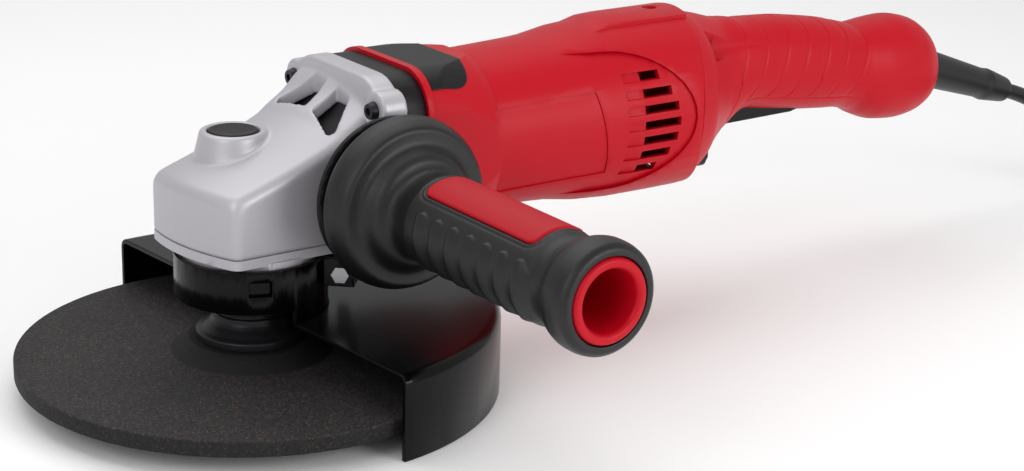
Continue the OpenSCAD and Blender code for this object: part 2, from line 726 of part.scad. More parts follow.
module motor_housing() {
    color([0.75, 0.07, 0.1]) difference() {
        union() {
            difference() {
                housing_outside();
                housing_inside();
            }
            housing_mounts();
        }
        // curved seam against the tail handle
        difference() {
            translate([seam_x, -80, 0]) cube([200, 160, 200]);
            translate([seam_x, 0, -1]) cylinder(r = seam_r, h = 300, $fn = 96);
        }
        // air slots, longest in the middle, and the grooves that lead into them
        for (s = [0, 1]) mirror([0, s, 0]) for (k = [0 : slots - 1]) {
            m = k - (slots - 1) / 2;
            translate([slot_x, 28, slot_mid_z + m * slot_pitch - slot_h / 2])
                cube([23 - 1.2 * m * m, 30, slot_h]);
        }
        intersection() {
            turned([[rear_r - 3, 190], [rear_r - 0.9, 208], [60, 208], [60, 190]]);
            for (k = [0 : slots - 1])
                translate([196, -60, slot_mid_z + (k - (slots - 1) / 2) * slot_pitch - slot_h / 2])
                    cube([12, 120, slot_h]);
        }
        // shallow recess for a side panel
        intersection() {
            turned([[housing_r - 1.2, 110], [housing_r + 0.6, 157], [rear_r - 2.2, 190],
                [60, 190], [60, 110]]);
            through_sides([[114.4, motor_z + 19], [178.3, motor_z + 20.7],
                [186.9, motor_z - 23.6], [121, motor_z - 25.5]]);
        }
        // hole in the crown, and the screws' holes
        translate([243, 0, motor_z + 40]) cylinder(r = 4, h = 20);
        for (y = [-1, 1], z = [-1, 1]) {
            translate([0, y * screw_y, z * screw_z]) along_motor(ring_end - 1)
                cylinder(r = 2.45, h = 18);
            translate([0, y * mount_screw_y, z * mount_screw_z]) along_motor(238)
                cylinder(r = 2.05, h = 30);
        }
    }
}

module top_panel() {
    color([0.15, 0.15, 0.15]) for (x = [92, 104])
        translate([x, 0, motor_z + front_w]) cylinder(r = 12, h = 0.7);
    color([0.15, 0.15, 0.15]) translate([92, -12, motor_z + front_w]) cube([12, 24, 0.7]);
}

// ---- motor ----

module field_core() {
    color([0.45, 0.45, 0.47]) along_motor(core_x) difference() {
        tube(core_r, field_r, core_l);
        for (s = [-1, 1]) translate([s * pole_x - pole_w / 2, -pole_h, -1])
            cube([pole_w, 2 * pole_h, core_l + 2]);
    }
}

module field_coils() {
    color([0.62, 0.3, 0.12]) along_motor(core_x - 7) {
        for (s = [-1, 1])
            translate([s * pole_x - pole_w / 2 + seat_gap, seat_gap - pole_h, 0])
                cube([pole_w - 2 * seat_gap, 2 * pole_h - 2 * seat_gap, core_l + 14]);
        for (e = [0, core_l + 7.5]) translate([0, 0, e]) tube(core_r - 4.85, field_r + 0.9, 6.5);
    }
}

module armature_shaft() {
    r = shaft_d / 2;
    color([0.6, 0.6, 0.62]) turned([
        [0, 14.5], [3, 14.5], [3, 33.3], [r, 33.3], [r, rear_bearing_x - 0.5],
        [4, rear_bearing_x - 0.5], [4, rear_bearing_x + 8], [0, rear_bearing_x + 8]
    ]);
}

module pinion() {
    color([0.35, 0.35, 0.37]) difference() {
        union() {
            along_motor(0) rotate(180 / pinion_teeth)
                bevel_rim(pinion_teeth, pinion_cone, cone_l, cone_l - face_w, 2.5, 17.96, 27);
            along_motor(26.5) cylinder(r = 8, h = 6.5);
        }
        along_motor(10) rotate(8) cylinder(r = 3.03, h = 30);
    }
}

module fan() {
    r = fan_d / 2;
    color([0.12, 0.12, 0.12]) along_motor(flange_end - 2) difference() {
        union() {
            cylinder(r = 9, h = 14);
            cylinder(r = r, h = 1.8);
            for (a = [0 : 30 : 330]) rotate(a) translate([8, -0.8, 1]) cube([r - 9, 1.6, 11.4]);
        }
        translate([0, 0, -1]) cylinder(r = shaft_d / 2 + 0.02, h = 20);
    }
}

module armature_core() {
    slots_n = 12;
    color([0.5, 0.5, 0.52]) along_motor(core_x + 0.5) difference() {
        cylinder(r = armature_d / 2, h = core_l - 1);
        translate([0, 0, -1]) cylinder(r = shaft_d / 2 + 0.02, h = core_l + 2);
        for (k = [0 : slots_n - 1]) rotate(k * 360 / slots_n)
            translate([armature_d / 2 - 9, -2, -1]) cube([12, 4, core_l + 2]);
    }
}

module armature_windings() {
    slots_n = 12;
    color([0.6, 0.28, 0.12]) along_motor(core_x - 7) difference() {
        union() {
            for (e = [0, core_l + 7.5]) translate([0, 0, e]) cylinder(r = 19, h = 7.4);
            for (k = [0 : slots_n - 1]) rotate(k * 360 / slots_n)
                translate([armature_d / 2 - 8.9, -1.9, 1]) cube([8, 3.8, core_l + 12]);
        }
        translate([0, 0, -1]) cylinder(r = shaft_d / 2 + 0.02, h = core_l + 20);
    }
}

module commutator() {
    color([0.75, 0.45, 0.2]) along_motor(core_x + core_l + 9) difference() {
        cylinder(r = commutator_d / 2, h = 24);
        translate([0, 0, -1]) cylinder(r = shaft_d / 2 + 0.02, h = 30);
        for (a = [0 : 15 : 345]) rotate(a) translate([commutator_d / 2 - 1, -0.3, 4])
            cube([2, 0.6, 30]);
    }
}

module front_bearing() {
    color([0.7, 0.72, 0.75]) along_motor(bearing_x + 0.1)
        tube(front_bearing_r, shaft_d / 2 + run_gap, front_bearing_w);
}

module rear_bearing() {
    color([0.7, 0.72, 0.75]) along_motor(rear_bearing_x + 0.1) tube(11, 4 + run_gap, 7);
}

module brush_holders() {
    inner = commutator_d / 2 + 3;
    color([0.65, 0.55, 0.3]) for (s = [0, 1]) mirror([0, s, 0]) difference() {
        union() {
            translate([brush_x - brush_w / 2 - 1.5, inner, motor_z - 5.5])
                cube([brush_w + 3, rear_r - housing_wall - inner - 3.4, 11]);
            translate([brush_x - brush_w / 2 - 5, 30, motor_z - 5.5]) cube([brush_w + 10, 3, 11]);
        }
        translate([brush_x - brush_w / 2 - 0.1, 0, motor_z - 4.1]) cube([brush_w + 0.2, 38, 8.2]);
    }
}

module carbon_brushes() {
    c = commutator_d / 2 + 0.2;
    color([0.12, 0.12, 0.13]) for (s = [0, 1]) mirror([0, s, 0]) difference() {
        translate([brush_x - brush_w / 2, 8, motor_z - 4]) cube([brush_w, 17, 8]);
        along_motor(brush_x - 20) cylinder(r = c, h = 40);
    }
}

module brush_springs() {
    color([0.6, 0.6, 0.6]) for (s = [0, 1]) mirror([0, s, 0])
        translate([brush_x, 25.2, motor_z]) rotate([-90, 0, 0]) spring(3.4, 0.8, 12.6);
}

// ---- tail handle ----

// A point on an oval that is a little squarer than an ellipse
function oval(a, b, t) = [a * pow(abs(cos(t)), 0.93), b * sign(sin(t)) * pow(abs(sin(t)), 0.93)];

// One ring of the right half shell: up the outside and back down the inside
function shell_ring(s) = let (a = max(s[2] - shell_wall, 12.1), b = max(s[3] - shell_wall, 12.1))
    concat(
        [for (t = [-90 : 15 : 90]) let (p = oval(s[2], s[3], t)) [s[0], p[0], s[1] + p[1]]],
        [for (t = [90 : -15 : -90]) let (p = oval(a, b, t)) [s[0], p[0], s[1] + p[1]]]
    );

// Ribs that hold the parts inside: x, foot, top, and distances of both ends from the middle
RIBS = [[312, 104, 118, 9.15, 21.4], [326, 104, 118, 9.15, 21.4], [368, 100, 114, 12.15, 21.4],
    [432, 88, 104, 13.15, 24]];

module tail_half() {
    difference() {
        union() {
            loft([for (s = TAIL) shell_ring(s)], strip = true);
            for (p = tail_screw_spots) translate([p[0], 0, p[1]]) rotate([-90, 0, 0])
                cylinder(r = 4.5, h = 19);
            for (r = RIBS) translate([r[0], r[3], r[1]]) cube([4, r[4] - r[3], r[2] - r[1]]);
            translate([paddle_pivot_x, paddle_w / 2 + 0.4, paddle_pivot_z]) rotate([-90, 0, 0])
                cylinder(r = 4, h = 5);
            // tubes for the screws that hold the handle to the housing
            intersection() {
                for (z = [-1, 1]) translate([0, mount_screw_y, z * mount_screw_z])
                    along_motor(250) cylinder(r = 6.4, h = 40);
                turned([[0, 245], [45, 245], [44.5, 262], [42, 272], [37.4, 283], [28, 291],
                    [0, 291]]);
            }
            translate([266, 0, 60.5]) cube([3.4, 5, 17.5]);
        }
        translate([seam_x, 0, -50]) cylinder(r = seam_r + seam_gap, h = 400, $fn = 96);
        // openings for the paddle, its pin and the catch
        translate([291.8, -1, 60]) cube([61.2, paddle_w / 2 + 1.4, 36]);
        translate([paddle_pivot_x, -1, paddle_pivot_z]) rotate([-90, 0, 0])
            cylinder(r = 2 + seat_gap, h = 14.2);
        translate([271.5, -1, 50]) cube([18.5, 7.3, 25]);
        along_relief(-20) cylinder(r = relief_r + 0.5, h = 40);
        for (p = tail_screw_spots) translate([p[0], -1, p[1]]) rotate([-90, 0, 0])
            cylinder(r = 2.05, h = 15);
        for (z = [-1, 1]) translate([0, mount_screw_y, z * mount_screw_z]) {
            along_motor(240) cylinder(r = 2.05, h = 40);
            along_motor(264) cylinder(r = 4.3, h = 40);
        }
    }
}

module tail_shell_right() {
    color([0.75, 0.07, 0.1]) difference() {
        tail_half();
        for (p = tail_screw_spots) translate([p[0], 0, p[1]]) rotate([-90, 0, 0]) {
            cylinder(r = 2.05, h = 20);
            translate([0, 0, 15.5]) cylinder(r = 3.6, h = 30);
        }
    }
}

module tail_shell_left() {
    color([0.75, 0.07, 0.1]) mirror([0, 1, 0]) tail_half();
}

module tail_screws() {
    color([0.5, 0.5, 0.5]) for (p = tail_screw_spots)
        translate([p[0], 15.5, p[1]]) rotate([90, 0, 0]) screw(2, 28, 3.3, 2.5);
}

module tail_mount_screws() {
    color([0.2, 0.2, 0.2]) for (y = [-1, 1], z = [-1, 1])
        translate([0, y * mount_screw_y, z * mount_screw_z]) {
            along_motor(242) cylinder(r = 2, h = 22);
            along_motor(264) tube(3.6, 1.4, 3);
        }
}

module power_switch() {
    color([0.1, 0.1, 0.1]) difference() {
        translate([303, -9, 100.3]) cube([35, 18, 21.7]);
        translate([plunger_x, 0, 90]) cylinder(r = 3 + run_gap, h = 20);
    }
}

module switch_plunger() {
    color([0.7, 0.1, 0.1]) translate([plunger_x, 0, 93.5]) cylinder(r = 3, h = 10.5);
}

module soft_start_module() {
    color([0.1, 0.1, 0.12]) translate([358, -12, 98]) cube([26, 24, 20]);
}

module paddle_spring() {
    color([0.6, 0.6, 0.6]) translate([308, 0, 93.1]) spring(3, 0.8, 7);
}

module paddle_pin() {
    color([0.6, 0.6, 0.62]) translate([paddle_pivot_x, -13, paddle_pivot_z])
        rotate([-90, 0, 0]) cylinder(r = 2, h = 26);
}

module paddle() {
    color([0.08, 0.08, 0.08]) difference() {
        translate([0, paddle_w / 2, 0]) rotate([90, 0, 0]) linear_extrude(paddle_w) polygon([
            [paddle_front + 0.4, paddle_low + 2.6], [paddle_front + 2.6, paddle_low],
            [344, paddle_low + 0.4], [351.5, paddle_low + 2], [351.5, 93], [301, 93],
            [296, 90.5]
        ]);
        translate([paddle_pivot_x, -30, paddle_pivot_z]) rotate([-90, 0, 0])
            cylinder(r = 2 + run_gap, h = 60);
    }
}

module lock_off_catch() {
    w = catch_w / 2 + 1;
    color([0.08, 0.08, 0.08]) {
        translate([0, w, 0]) rotate([90, 0, 0]) linear_extrude(2 * w) polygon([
            [277, catch_low - 1.5], [284.5, catch_low - 0.5], [286, catch_low + 2], [286, 78],
            [276, 78], [276, catch_low + 0.5]
        ]);
        translate([274.5, -w - 3, 78]) cube([13, 2 * w + 6, 2.4]);
    }
}

module catch_spring() {
    color([0.6, 0.6, 0.6]) translate([269.4, 0, 72]) rotate([0, 90, 0]) spring(2, 0.6, 3.4);
}

module along_relief(d = 0) {
    translate([tail_end, 0, relief_z]) rotate([0, 90 + relief_tilt, 0])
        translate([0, 0, d]) children();
}

module strain_relief() {
    color([0.08, 0.08, 0.08]) along_relief() rotate_extrude() polygon([
        [0, -30], [6, -30], [6, -10], [13.2, -10], [13.2, -7.5], [relief_r + 0.2, -7.5],
        [relief_r, 0], [9.2, relief_l - 24], [9.9, relief_l - 19], [9.4, relief_l - 14],
        [8, relief_l - 2], [7.6, relief_l], [0, relief_l]
    ]);
}

module cord_clamp() {
    color([0.15, 0.15, 0.15]) difference() {
        translate([430, -13, 91]) cube([8, 26, 19]);
        along_relief(-60) cylinder(r = 6 + seat_gap, h = 60);
    }
}

// ---- side handle ----

module handle_stud() {
    r = spindle_thread_d / 2 - 0.05;
    color([0.6, 0.6, 0.62]) along_handle() rotate_extrude() polygon([
        [0, -17.5], [r - 0.8, -17.5], [r, -16.7], [r, 4.5], [6, 4.5], [6, 112.5], [0, 112.5]
    ]);
}

module handle_back_ring() {
    color([0.09, 0.09, 0.09]) along_handle() rotate_extrude() polygon([
        [7.1, 0.3], [ring_r - 1.2, 0.3], [ring_r, 1.4], [ring_r, 3.6], [ring_r - 1, 4.5],
        [7.1, 4.5]
    ]);
}

module handle_damper() {
    color([0.7, 0.08, 0.1]) along_handle(4.5) tube(ring_r - 4.3, 6.1, 2);
}

module handle_hub() {
    color([0.3, 0.3, 0.31]) along_handle(6.5) tube(ring_r - 5.3, 6.1, 3);
}

// Wedge over the top of the grip
module inlay_wedge(lift) {
    translate([handle_x, -boss_face - 51, handle_z + lift]) rotate([90, 0, 0])
        linear_extrude(grip_end - 51) polygon([[0, 0], [40, 40], [-40, 40]]);
}

module grip_body() {
    r = grip_r + 0.3;
    color([0.09, 0.09, 0.09]) difference() {
        union() {
            along_handle() rotate_extrude($fn = 72) polygon([
                [6.1, bell_start], [bell_r - 4, bell_start], [bell_r - 1, bell_start + 3],
                [bell_r, bell_start + 6.5], [bell_r, bell_start + 12.5],
                [bell_r - 1, bell_start + 15.5], [bell_r - 4.5, bell_start + 18.5],
                [28, grip_start - 10], [24.5, grip_start - 5], [r, grip_start], [r, grip_end],
                [20.4, grip_end + 6], [20.4, grip_end + 10], [25.4, grip_end + 22],
                [25.4, handle_l - 4], [23.5, handle_l], [6.1, handle_l]
            ]);
            // raised pads on both sides of the grip
            intersection() {
                for (k = [0 : 6]) along_handle(56 + 11.5 * k) tube(r + 0.9, 15, 6.5);
                translate([handle_x - 30, -boss_face - 140, handle_z - 16]) cube([60, 90, 20]);
            }
        }
        along_handle(118) cylinder(r = socket_r, h = 80);
        along_handle(handle_l - 43.2) cylinder(r = socket_r + 5.5, h = 50);
        intersection() {
            along_handle(51) tube(r + 4, r - 1.2, 88);
            inlay_wedge(0);
        }
    }
}

module grip_inlay() {
    r = grip_r + 0.3;
    color([0.75, 0.07, 0.1]) intersection() {
        along_handle(51.1) tube(r + 0.25, r - 1.15, grip_end - 51.2);
        inlay_wedge(0.15);
    }
}

module grip_end_sleeve() {
    r = socket_r + 5.4;
    color([0.78, 0.06, 0.1]) along_handle(handle_l - 43) rotate_extrude() polygon([
        [0, 0], [r, 0], [r, 43.2], [r - 0.8, 44], [socket_r + 1, 44],
        [socket_r, 43], [socket_r, 4], [0, 4]
    ]);
}

// ---- mains lead ----

// A round tube swept along a route, with one ring of points for each place on it
module sweep(route, r, sides) {
    n = len(route);
    function along(k) = let (a = route[max(k - 1, 0)], b = route[min(k + 1, n - 1)], d = b - a)
        d / norm(d);
    function ring(k) = let (t = along(k), u = cross([0, 0, 1], t), v = u / norm(u), w = cross(t, v))
        [for (i = [0 : sides - 1]) let (a = i * 360 / sides)
            route[k] + [0, 0, rest_z] + r * cos(a) * v + r * sin(a) * w];
    loft([for (k = [n - 1 : -1 : 0]) ring(k)]);
}

module power_cord() { color([0.06, 0.06, 0.06]) sweep(CORD, cord_d / 2, 12); }
module plug_lead() { color([0.06, 0.06, 0.06]) sweep(LEAD, cord_d / 2, 12); }

module cord_coil() {
    w = coil_rows * cord_d;
    h = coil_layers * cord_d;
    b = cord_d * 0.4;
    color([0.06, 0.06, 0.06]) translate([coil_x, coil_y, rest_z]) rotate_extrude($fn = 96)
        polygon([
            [coil_r - w / 2, b], [coil_r - w / 2 + b, 0], [coil_r + w / 2 - b, 0],
            [coil_r + w / 2, b], [coil_r + w / 2, h - b], [coil_r + w / 2 - b, h],
            [coil_r - w / 2 + b, h], [coil_r - w / 2, h - b]
        ]);
}

module along_plug(d = 0) {
    e = LEAD[len(LEAD) - 1];
    translate([e[0], e[1], e[2] + rest_z]) rotate([0, -90, plug_turn])
        translate([0, 0, d]) children();
}

module mains_plug() {
    color([0.07, 0.07, 0.07]) difference() {
        along_plug() rotate_extrude() polygon([
            [0, -1], [6.6, -1], [7.4, 2], [8.4, 26], [13.5, 31], [plug_r - 0.6, 36],
            [plug_r, 39], [plug_r, 60], [plug_r - 1, 62], [0, 62]
        ]);
        for (s = [-1, 1]) along_plug(44) translate([0, s * 9.5, 0])
            cylinder(r = 2.4 + 0.02, h = 30);
    }
}

module plug_pins() {
    color([0.8, 0.75, 0.6]) for (s = [-1, 1]) along_plug(44.1) translate([0, s * 9.5, 0])
        cylinder(r = 2.4, h = 36.9);
}

gear_case();
air_guide_ring();
bearing_plate();
plate_screws();
case_screws();
motor_housing();
top_panel();
field_core();
field_coils();
brush_holders();
carbon_brushes();
brush_springs();
front_bearing();
rear_bearing();
spindle_bearing();
needle_bearing();
tail_shell_left();
tail_shell_right();
tail_screws();
tail_mount_screws();
power_switch();
soft_start_module();
cord_clamp();
strain_relief();
paddle_pin();
paddle_spring();
catch_spring();
lock_spring();
handle_stud();
handle_back_ring();
handle_hub();
handle_damper();
grip_body();
grip_inlay();
grip_end_sleeve();
power_cord();
cord_coil();
plug_lead();
mains_plug();
plug_pins();
spindle();
crown_gear();
inner_flange();
grinding_disc();
lock_nut();
armature_shaft();
pinion();
fan();
armature_core();
armature_windings();
commutator();
lock_button();
lock_pin();
guard_shell();
guard_collar();
clamp_bolt();
clamp_lever();
paddle();
lock_off_catch();
switch_plunger();
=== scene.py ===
# %% [markdown]
# # Angle grinder
#
# A large two-handed grinder: a silver gear head, a red motor housing and tail handle, a black
# guard round a 230 mm disc, a side handle and a coiled mains lead. CAD gives every part's
# place. This script gives the parts their moulded forms, their materials and the light.

import json
import math

import bmesh
import bpy
import numpy as np
from mathutils import Matrix, Vector


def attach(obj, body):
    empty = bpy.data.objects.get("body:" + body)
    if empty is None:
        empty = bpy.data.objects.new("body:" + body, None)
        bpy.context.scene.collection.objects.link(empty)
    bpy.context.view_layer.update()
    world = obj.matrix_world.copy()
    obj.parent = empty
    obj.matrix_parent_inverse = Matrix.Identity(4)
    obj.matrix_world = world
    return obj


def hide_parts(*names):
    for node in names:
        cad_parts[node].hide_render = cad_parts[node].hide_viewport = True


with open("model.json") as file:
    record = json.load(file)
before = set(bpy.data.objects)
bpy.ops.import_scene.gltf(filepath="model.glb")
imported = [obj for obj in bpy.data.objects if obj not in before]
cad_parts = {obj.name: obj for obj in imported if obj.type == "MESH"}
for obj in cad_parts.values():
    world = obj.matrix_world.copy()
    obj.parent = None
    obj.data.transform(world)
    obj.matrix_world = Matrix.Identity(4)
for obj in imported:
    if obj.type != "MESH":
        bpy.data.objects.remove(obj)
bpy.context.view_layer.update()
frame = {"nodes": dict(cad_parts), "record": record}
nodes = frame["nodes"]
MM = 0.001
FLOOR = 10  # how far the floor lies under the frame's origin, in millimetres
MOTOR_Z = 102.5  # height of the motor's axis
HANDLE_X, HANDLE_Y, HANDLE_Z = 47, -47, 92.4  # where the side handle meets the gear case
LOCK_X, LOCK_Y = -1.6, 13  # axis of the spindle lock's button
MOUNT_Y, MOUNT_Z = 26, 30.4  # the tail's mounting screws, from the motor's axis
print("CAD nodes:", len(nodes))

# %% [markdown]
# ## Camera
#
# A long lens, 75.5 mm on a 36 mm sensor, looks down at the gear head from its left front. The
# three columns of the matrix are the camera's right, up and backward directions.

# %% Camera
camera_data = bpy.data.cameras.new("camera")
camera_data.sensor_width = 36
camera_data.lens = 75.52
camera = bpy.data.objects.new("camera", camera_data)
bpy.context.scene.collection.objects.link(camera)
RIGHT = Vector((0.81295, -0.58175, 0.02614)).normalized()
BACK = Vector((-0.55846, -0.76611, 0.31813)).normalized()
UP = BACK.cross(RIGHT).normalized()
EYE = Vector((-0.4784, -0.8712, 0.4005))
camera.matrix_world = Matrix.Translation(EYE) @ Matrix((RIGHT, UP, BACK)).transposed().to_4x4()
bpy.context.scene.camera = camera
print("camera lens:", camera_data.lens)

# %% [markdown]
# ## Curves and surfaces
#
# Every moulded form is a grid of points worked out at once with numpy. A curve through a few
# measured places gives the radius or the height at any distance, and a soft step gives the
# rounded edges of panels, pads and grooves.


# %% Curve helpers
def through(knots, values, x):
    """A smooth curve through the knots. Each stretch is a cubic, and its slope at a knot is the
    harmonic mean of the two chords that meet there, so the curve never overshoots."""
    knots, values = np.asarray(knots, float), np.asarray(values, float)
    chord = np.diff(values) / np.diff(knots)
    before, after = chord[:-1], chord[1:]
    same = before * after > 0
    inner = np.where(same, 2 * before * after / np.where(same, before + after, 1), 0)
    slope = np.concatenate([chord[:1], inner, chord[-1:]])
    i = np.clip(np.searchsorted(knots, x, side="right") - 1, 0, len(chord) - 1)
    h = knots[i + 1] - knots[i]
    t = np.clip((x - knots[i]) / h, 0, 1)
    return (
        values[i] * (1 + 2 * t) * (1 - t) ** 2
        + h * slope[i] * t * (1 - t) ** 2
        + values[i + 1] * t**2 * (3 - 2 * t)
        + h * slope[i + 1] * t**2 * (t - 1)
    )


def step(low, high, x):
    """A soft step: 0 below low, 1 above high, and three t squared less two t cubed between."""
    t = np.clip((x - low) / (high - low), 0, 1)
    return t * t * (3 - 2 * t)


def rounded(outline, radius, steps=5):
    """An outline with its corners rounded. Each corner becomes a short parabola that starts and
    ends at the given distance from it, or at 45% of the shorter side beside it."""
    p = np.asarray(outline, float)
    inner, before, after = p[1:-1], p[:-2] - p[1:-1], p[2:] - p[1:-1]
    lb = np.linalg.norm(before, axis=1)
    la = np.linalg.norm(after, axis=1)
    d = np.minimum(radius, 0.45 * np.minimum(lb, la))
    start = inner + before * (d / lb)[:, None]
    end = inner + after * (d / la)[:, None]
    t = np.linspace(0, 1, steps)[None, :, None]
    arcs = (1 - t) ** 2 * start[:, None] + 2 * t * (1 - t) * inner[:, None] + t**2 * end[:, None]
    return np.vstack([p[:1], arcs.reshape(-1, 2), p[-1:]])


def refined(outline, spacing):
    """The same outline with more points, no further apart than the spacing."""
    length = np.concatenate([[0], np.cumsum(np.linalg.norm(np.diff(outline, axis=0), axis=1))])
    extra = np.arange(0, length[-1], spacing)
    at = np.unique(np.concatenate([length, extra]).round(4))
    return np.stack([np.interp(at, length, outline[:, k]) for k in (0, 1)], axis=1)


print("curve helpers: 4")


# %% Mesh helpers
def skin(name, points, closed=False, flip=False):
    """A mesh object from a grid of points in millimetres, rows by columns by three. Each cell of
    the grid is one quad. A closed grid's last column joins its first."""
    rows, cols = points.shape[:2]
    index = np.arange(rows * cols).reshape(rows, cols)
    if closed:
        index = np.hstack([index, index[:, :1]])
    a, b, c, d = index[:-1, :-1], index[:-1, 1:], index[1:, 1:], index[1:, :-1]
    faces = np.stack([a, d, c, b] if flip else [a, b, c, d], axis=-1).reshape(-1, 4)
    mesh = bpy.data.meshes.new(name)
    mesh.from_pydata((points.reshape(-1, 3) * MM).tolist(), [], faces.tolist())
    mesh.polygons.foreach_set("use_smooth", np.ones(len(mesh.polygons), bool))
    mesh.validate()
    piece = bpy.data.objects.new(name, mesh)
    bpy.context.scene.collection.objects.link(piece)
    return piece


def placed(local, origin, x_axis, y_axis, z_axis):
    """Points given along three local axes, put where those axes stand on the object."""
    axes = np.array([x_axis, y_axis, z_axis], float)
    return np.asarray(origin, float) + local @ axes


def on_motor(local):
    """Local z runs along the motor towards the tail, x across it and y upwards."""
    return placed(local, (0, 0, MOTOR_Z), (0, 1, 0), (0, 0, 1), (1, 0, 0))


def on_handle(local):
    """Local z runs out along the side handle, x towards the tail and y upwards."""
    start = (HANDLE_X, HANDLE_Y, HANDLE_Z)
    return placed(local, start, (1, 0, 0), (0, 0, 1), (0, -1, 0))


def on_spindle(local):
    """Local z runs up the spindle."""
    return placed(local, (0, 0, 0), (1, 0, 0), (0, 1, 0), (0, 0, 1))


def around(radius, along, angle):
    """Points at these radii and distances along an axis, taken round it through the angles."""
    return np.stack([radius * np.cos(angle), radius * np.sin(angle), along + 0 * angle], axis=-1)


def turned(name, outline, place, round_by):
    """A turned form. The outline gives radius and distance along the axis, its corners are
    rounded, and each of its points runs round a circle of 96 sides."""
    line = refined(rounded(outline, round_by), 6.0)
    angle = np.linspace(0, 2 * np.pi, 96, endpoint=False)
    return skin(name, place(around(line[:, :1], line[:, 1:], angle)), closed=True)


def modifier(piece, kind, **settings):
    """Adds a modifier with these settings."""
    made = piece.modifiers.new(kind.lower(), kind)
    for key, value in settings.items():
        setattr(made, key, value)
    return made


def baked(piece):
    """The piece with its modifiers worked into its mesh."""
    bpy.context.view_layer.update()
    shaped = piece.evaluated_get(bpy.context.evaluated_depsgraph_get())
    mesh = bpy.data.meshes.new_from_object(shaped)
    piece.modifiers.clear()
    piece.data = mesh
    return piece


def carved(piece, cutter):
    """The piece with the cutter's solid taken away, and the cutter removed."""
    modifier(piece, "BOOLEAN", object=cutter, operation="DIFFERENCE", solver="EXACT")
    baked(piece)
    bpy.data.objects.remove(cutter)
    return piece


def softened(piece, width, angle=35):
    """Rounds the piece's sharp edges, and keeps its flat faces flat in the light."""
    modifier(piece, "WELD", merge_threshold=1e-5)
    modifier(
        piece, "BEVEL", width=width * MM, segments=2, limit_method="ANGLE",
        angle_limit=math.radians(angle), harden_normals=True, use_clamp_overlap=True,
    )
    return piece


print("mesh helpers: 11")

# %% [markdown]
# ## Materials
#
# Two shared node groups give the fine surface grain and the dust that settles on upward faces.
# Each material then sets its own colour, gloss and grain.


# %% Node helpers
def linear(r, g, b):
    """A colour given as it looks on screen, from 0 to 255, as the shader wants it."""
    c = np.array([r, g, b]) / 255
    return (*np.where(c <= 0.04045, c / 12.92, ((c + 0.055) / 1.055) ** 2.4), 1.0)


def add(tree, kind, operation=None, **inputs):
    """A node of a tree, with its operation and its unlinked inputs set."""
    node = tree.nodes.new(kind)
    if operation:
        node.operation = operation
    for key, value in inputs.items():
        node.inputs[key.replace("_", " ")].default_value = value
    return node


def grain_group():
    """Bumps from two sizes of noise, in the object's own coordinates."""
    tree = bpy.data.node_groups.new("surface_grain", "ShaderNodeTree")
    tree.interface.new_socket("Scale", in_out="INPUT", socket_type="NodeSocketFloat")
    tree.interface.new_socket("Strength", in_out="INPUT", socket_type="NodeSocketFloat")
    tree.interface.new_socket("Normal", in_out="OUTPUT", socket_type="NodeSocketVector")
    inside, out = tree.nodes.new("NodeGroupInput"), tree.nodes.new("NodeGroupOutput")
    place = tree.nodes.new("ShaderNodeTexCoord")
    coarse = add(tree, "ShaderNodeTexNoise", Detail=3.0, Roughness=0.6)
    fine = add(tree, "ShaderNodeTexVoronoi")
    ratio = add(tree, "ShaderNodeMath", "MULTIPLY")
    ratio.inputs[1].default_value = 1.7
    total = add(tree, "ShaderNodeMath", "ADD")
    bump = add(tree, "ShaderNodeBump", Distance=0.0004)
    link = tree.links.new
    link(place.outputs["Object"], coarse.inputs["Vector"])
    link(place.outputs["Object"], fine.inputs["Vector"])
    link(inside.outputs["Scale"], coarse.inputs["Scale"])
    link(inside.outputs["Scale"], ratio.inputs[0])
    link(ratio.outputs[0], fine.inputs["Scale"])
    link(coarse.outputs[0], total.inputs[0])
    link(fine.outputs["Distance"], total.inputs[1])
    link(total.outputs[0], bump.inputs["Height"])
    link(inside.outputs["Strength"], bump.inputs["Strength"])
    link(bump.outputs[0], out.inputs["Normal"])
    return tree


def dust_group():
    """Lightens a colour a little in soft patches, more on faces that look up."""
    tree = bpy.data.node_groups.new("dust", "ShaderNodeTree")
    tree.interface.new_socket("Color", in_out="INPUT", socket_type="NodeSocketColor")
    tree.interface.new_socket("Dust", in_out="INPUT", socket_type="NodeSocketColor")
    tree.interface.new_socket("Amount", in_out="INPUT", socket_type="NodeSocketFloat")
    tree.interface.new_socket("Color", in_out="OUTPUT", socket_type="NodeSocketColor")
    inside, out = tree.nodes.new("NodeGroupInput"), tree.nodes.new("NodeGroupOutput")
    place = tree.nodes.new("ShaderNodeTexCoord")
    noise = add(tree, "ShaderNodeTexNoise", Scale=28.0, Detail=5.0, Roughness=0.62)
    spread = add(tree, "ShaderNodeMapRange", From_Min=0.42, From_Max=0.75)
    shape = tree.nodes.new("ShaderNodeNewGeometry")
    split = tree.nodes.new("ShaderNodeSeparateXYZ")
    upward = add(tree, "ShaderNodeMapRange", From_Min=-0.4)
    many = add(tree, "ShaderNodeMath", "MULTIPLY")
    scaled = add(tree, "ShaderNodeMath", "MULTIPLY")
    mix = tree.nodes.new("ShaderNodeMix")
    mix.data_type = "RGBA"
    link = tree.links.new
    link(place.outputs["Object"], noise.inputs["Vector"])
    link(noise.outputs[0], spread.inputs["Value"])
    link(shape.outputs["Normal"], split.inputs[0])
    link(split.outputs["Z"], upward.inputs["Value"])
    link(spread.outputs[0], many.inputs[0])
    link(upward.outputs[0], many.inputs[1])
    link(many.outputs[0], scaled.inputs[0])
    link(inside.outputs["Amount"], scaled.inputs[1])
    link(scaled.outputs[0], mix.inputs["Factor"])
    link(inside.outputs["Color"], mix.inputs["A"])
    link(inside.outputs["Dust"], mix.inputs["B"])
    link(mix.outputs["Result"], out.inputs["Color"])
    return tree


GRAIN = grain_group()
DUST = dust_group()


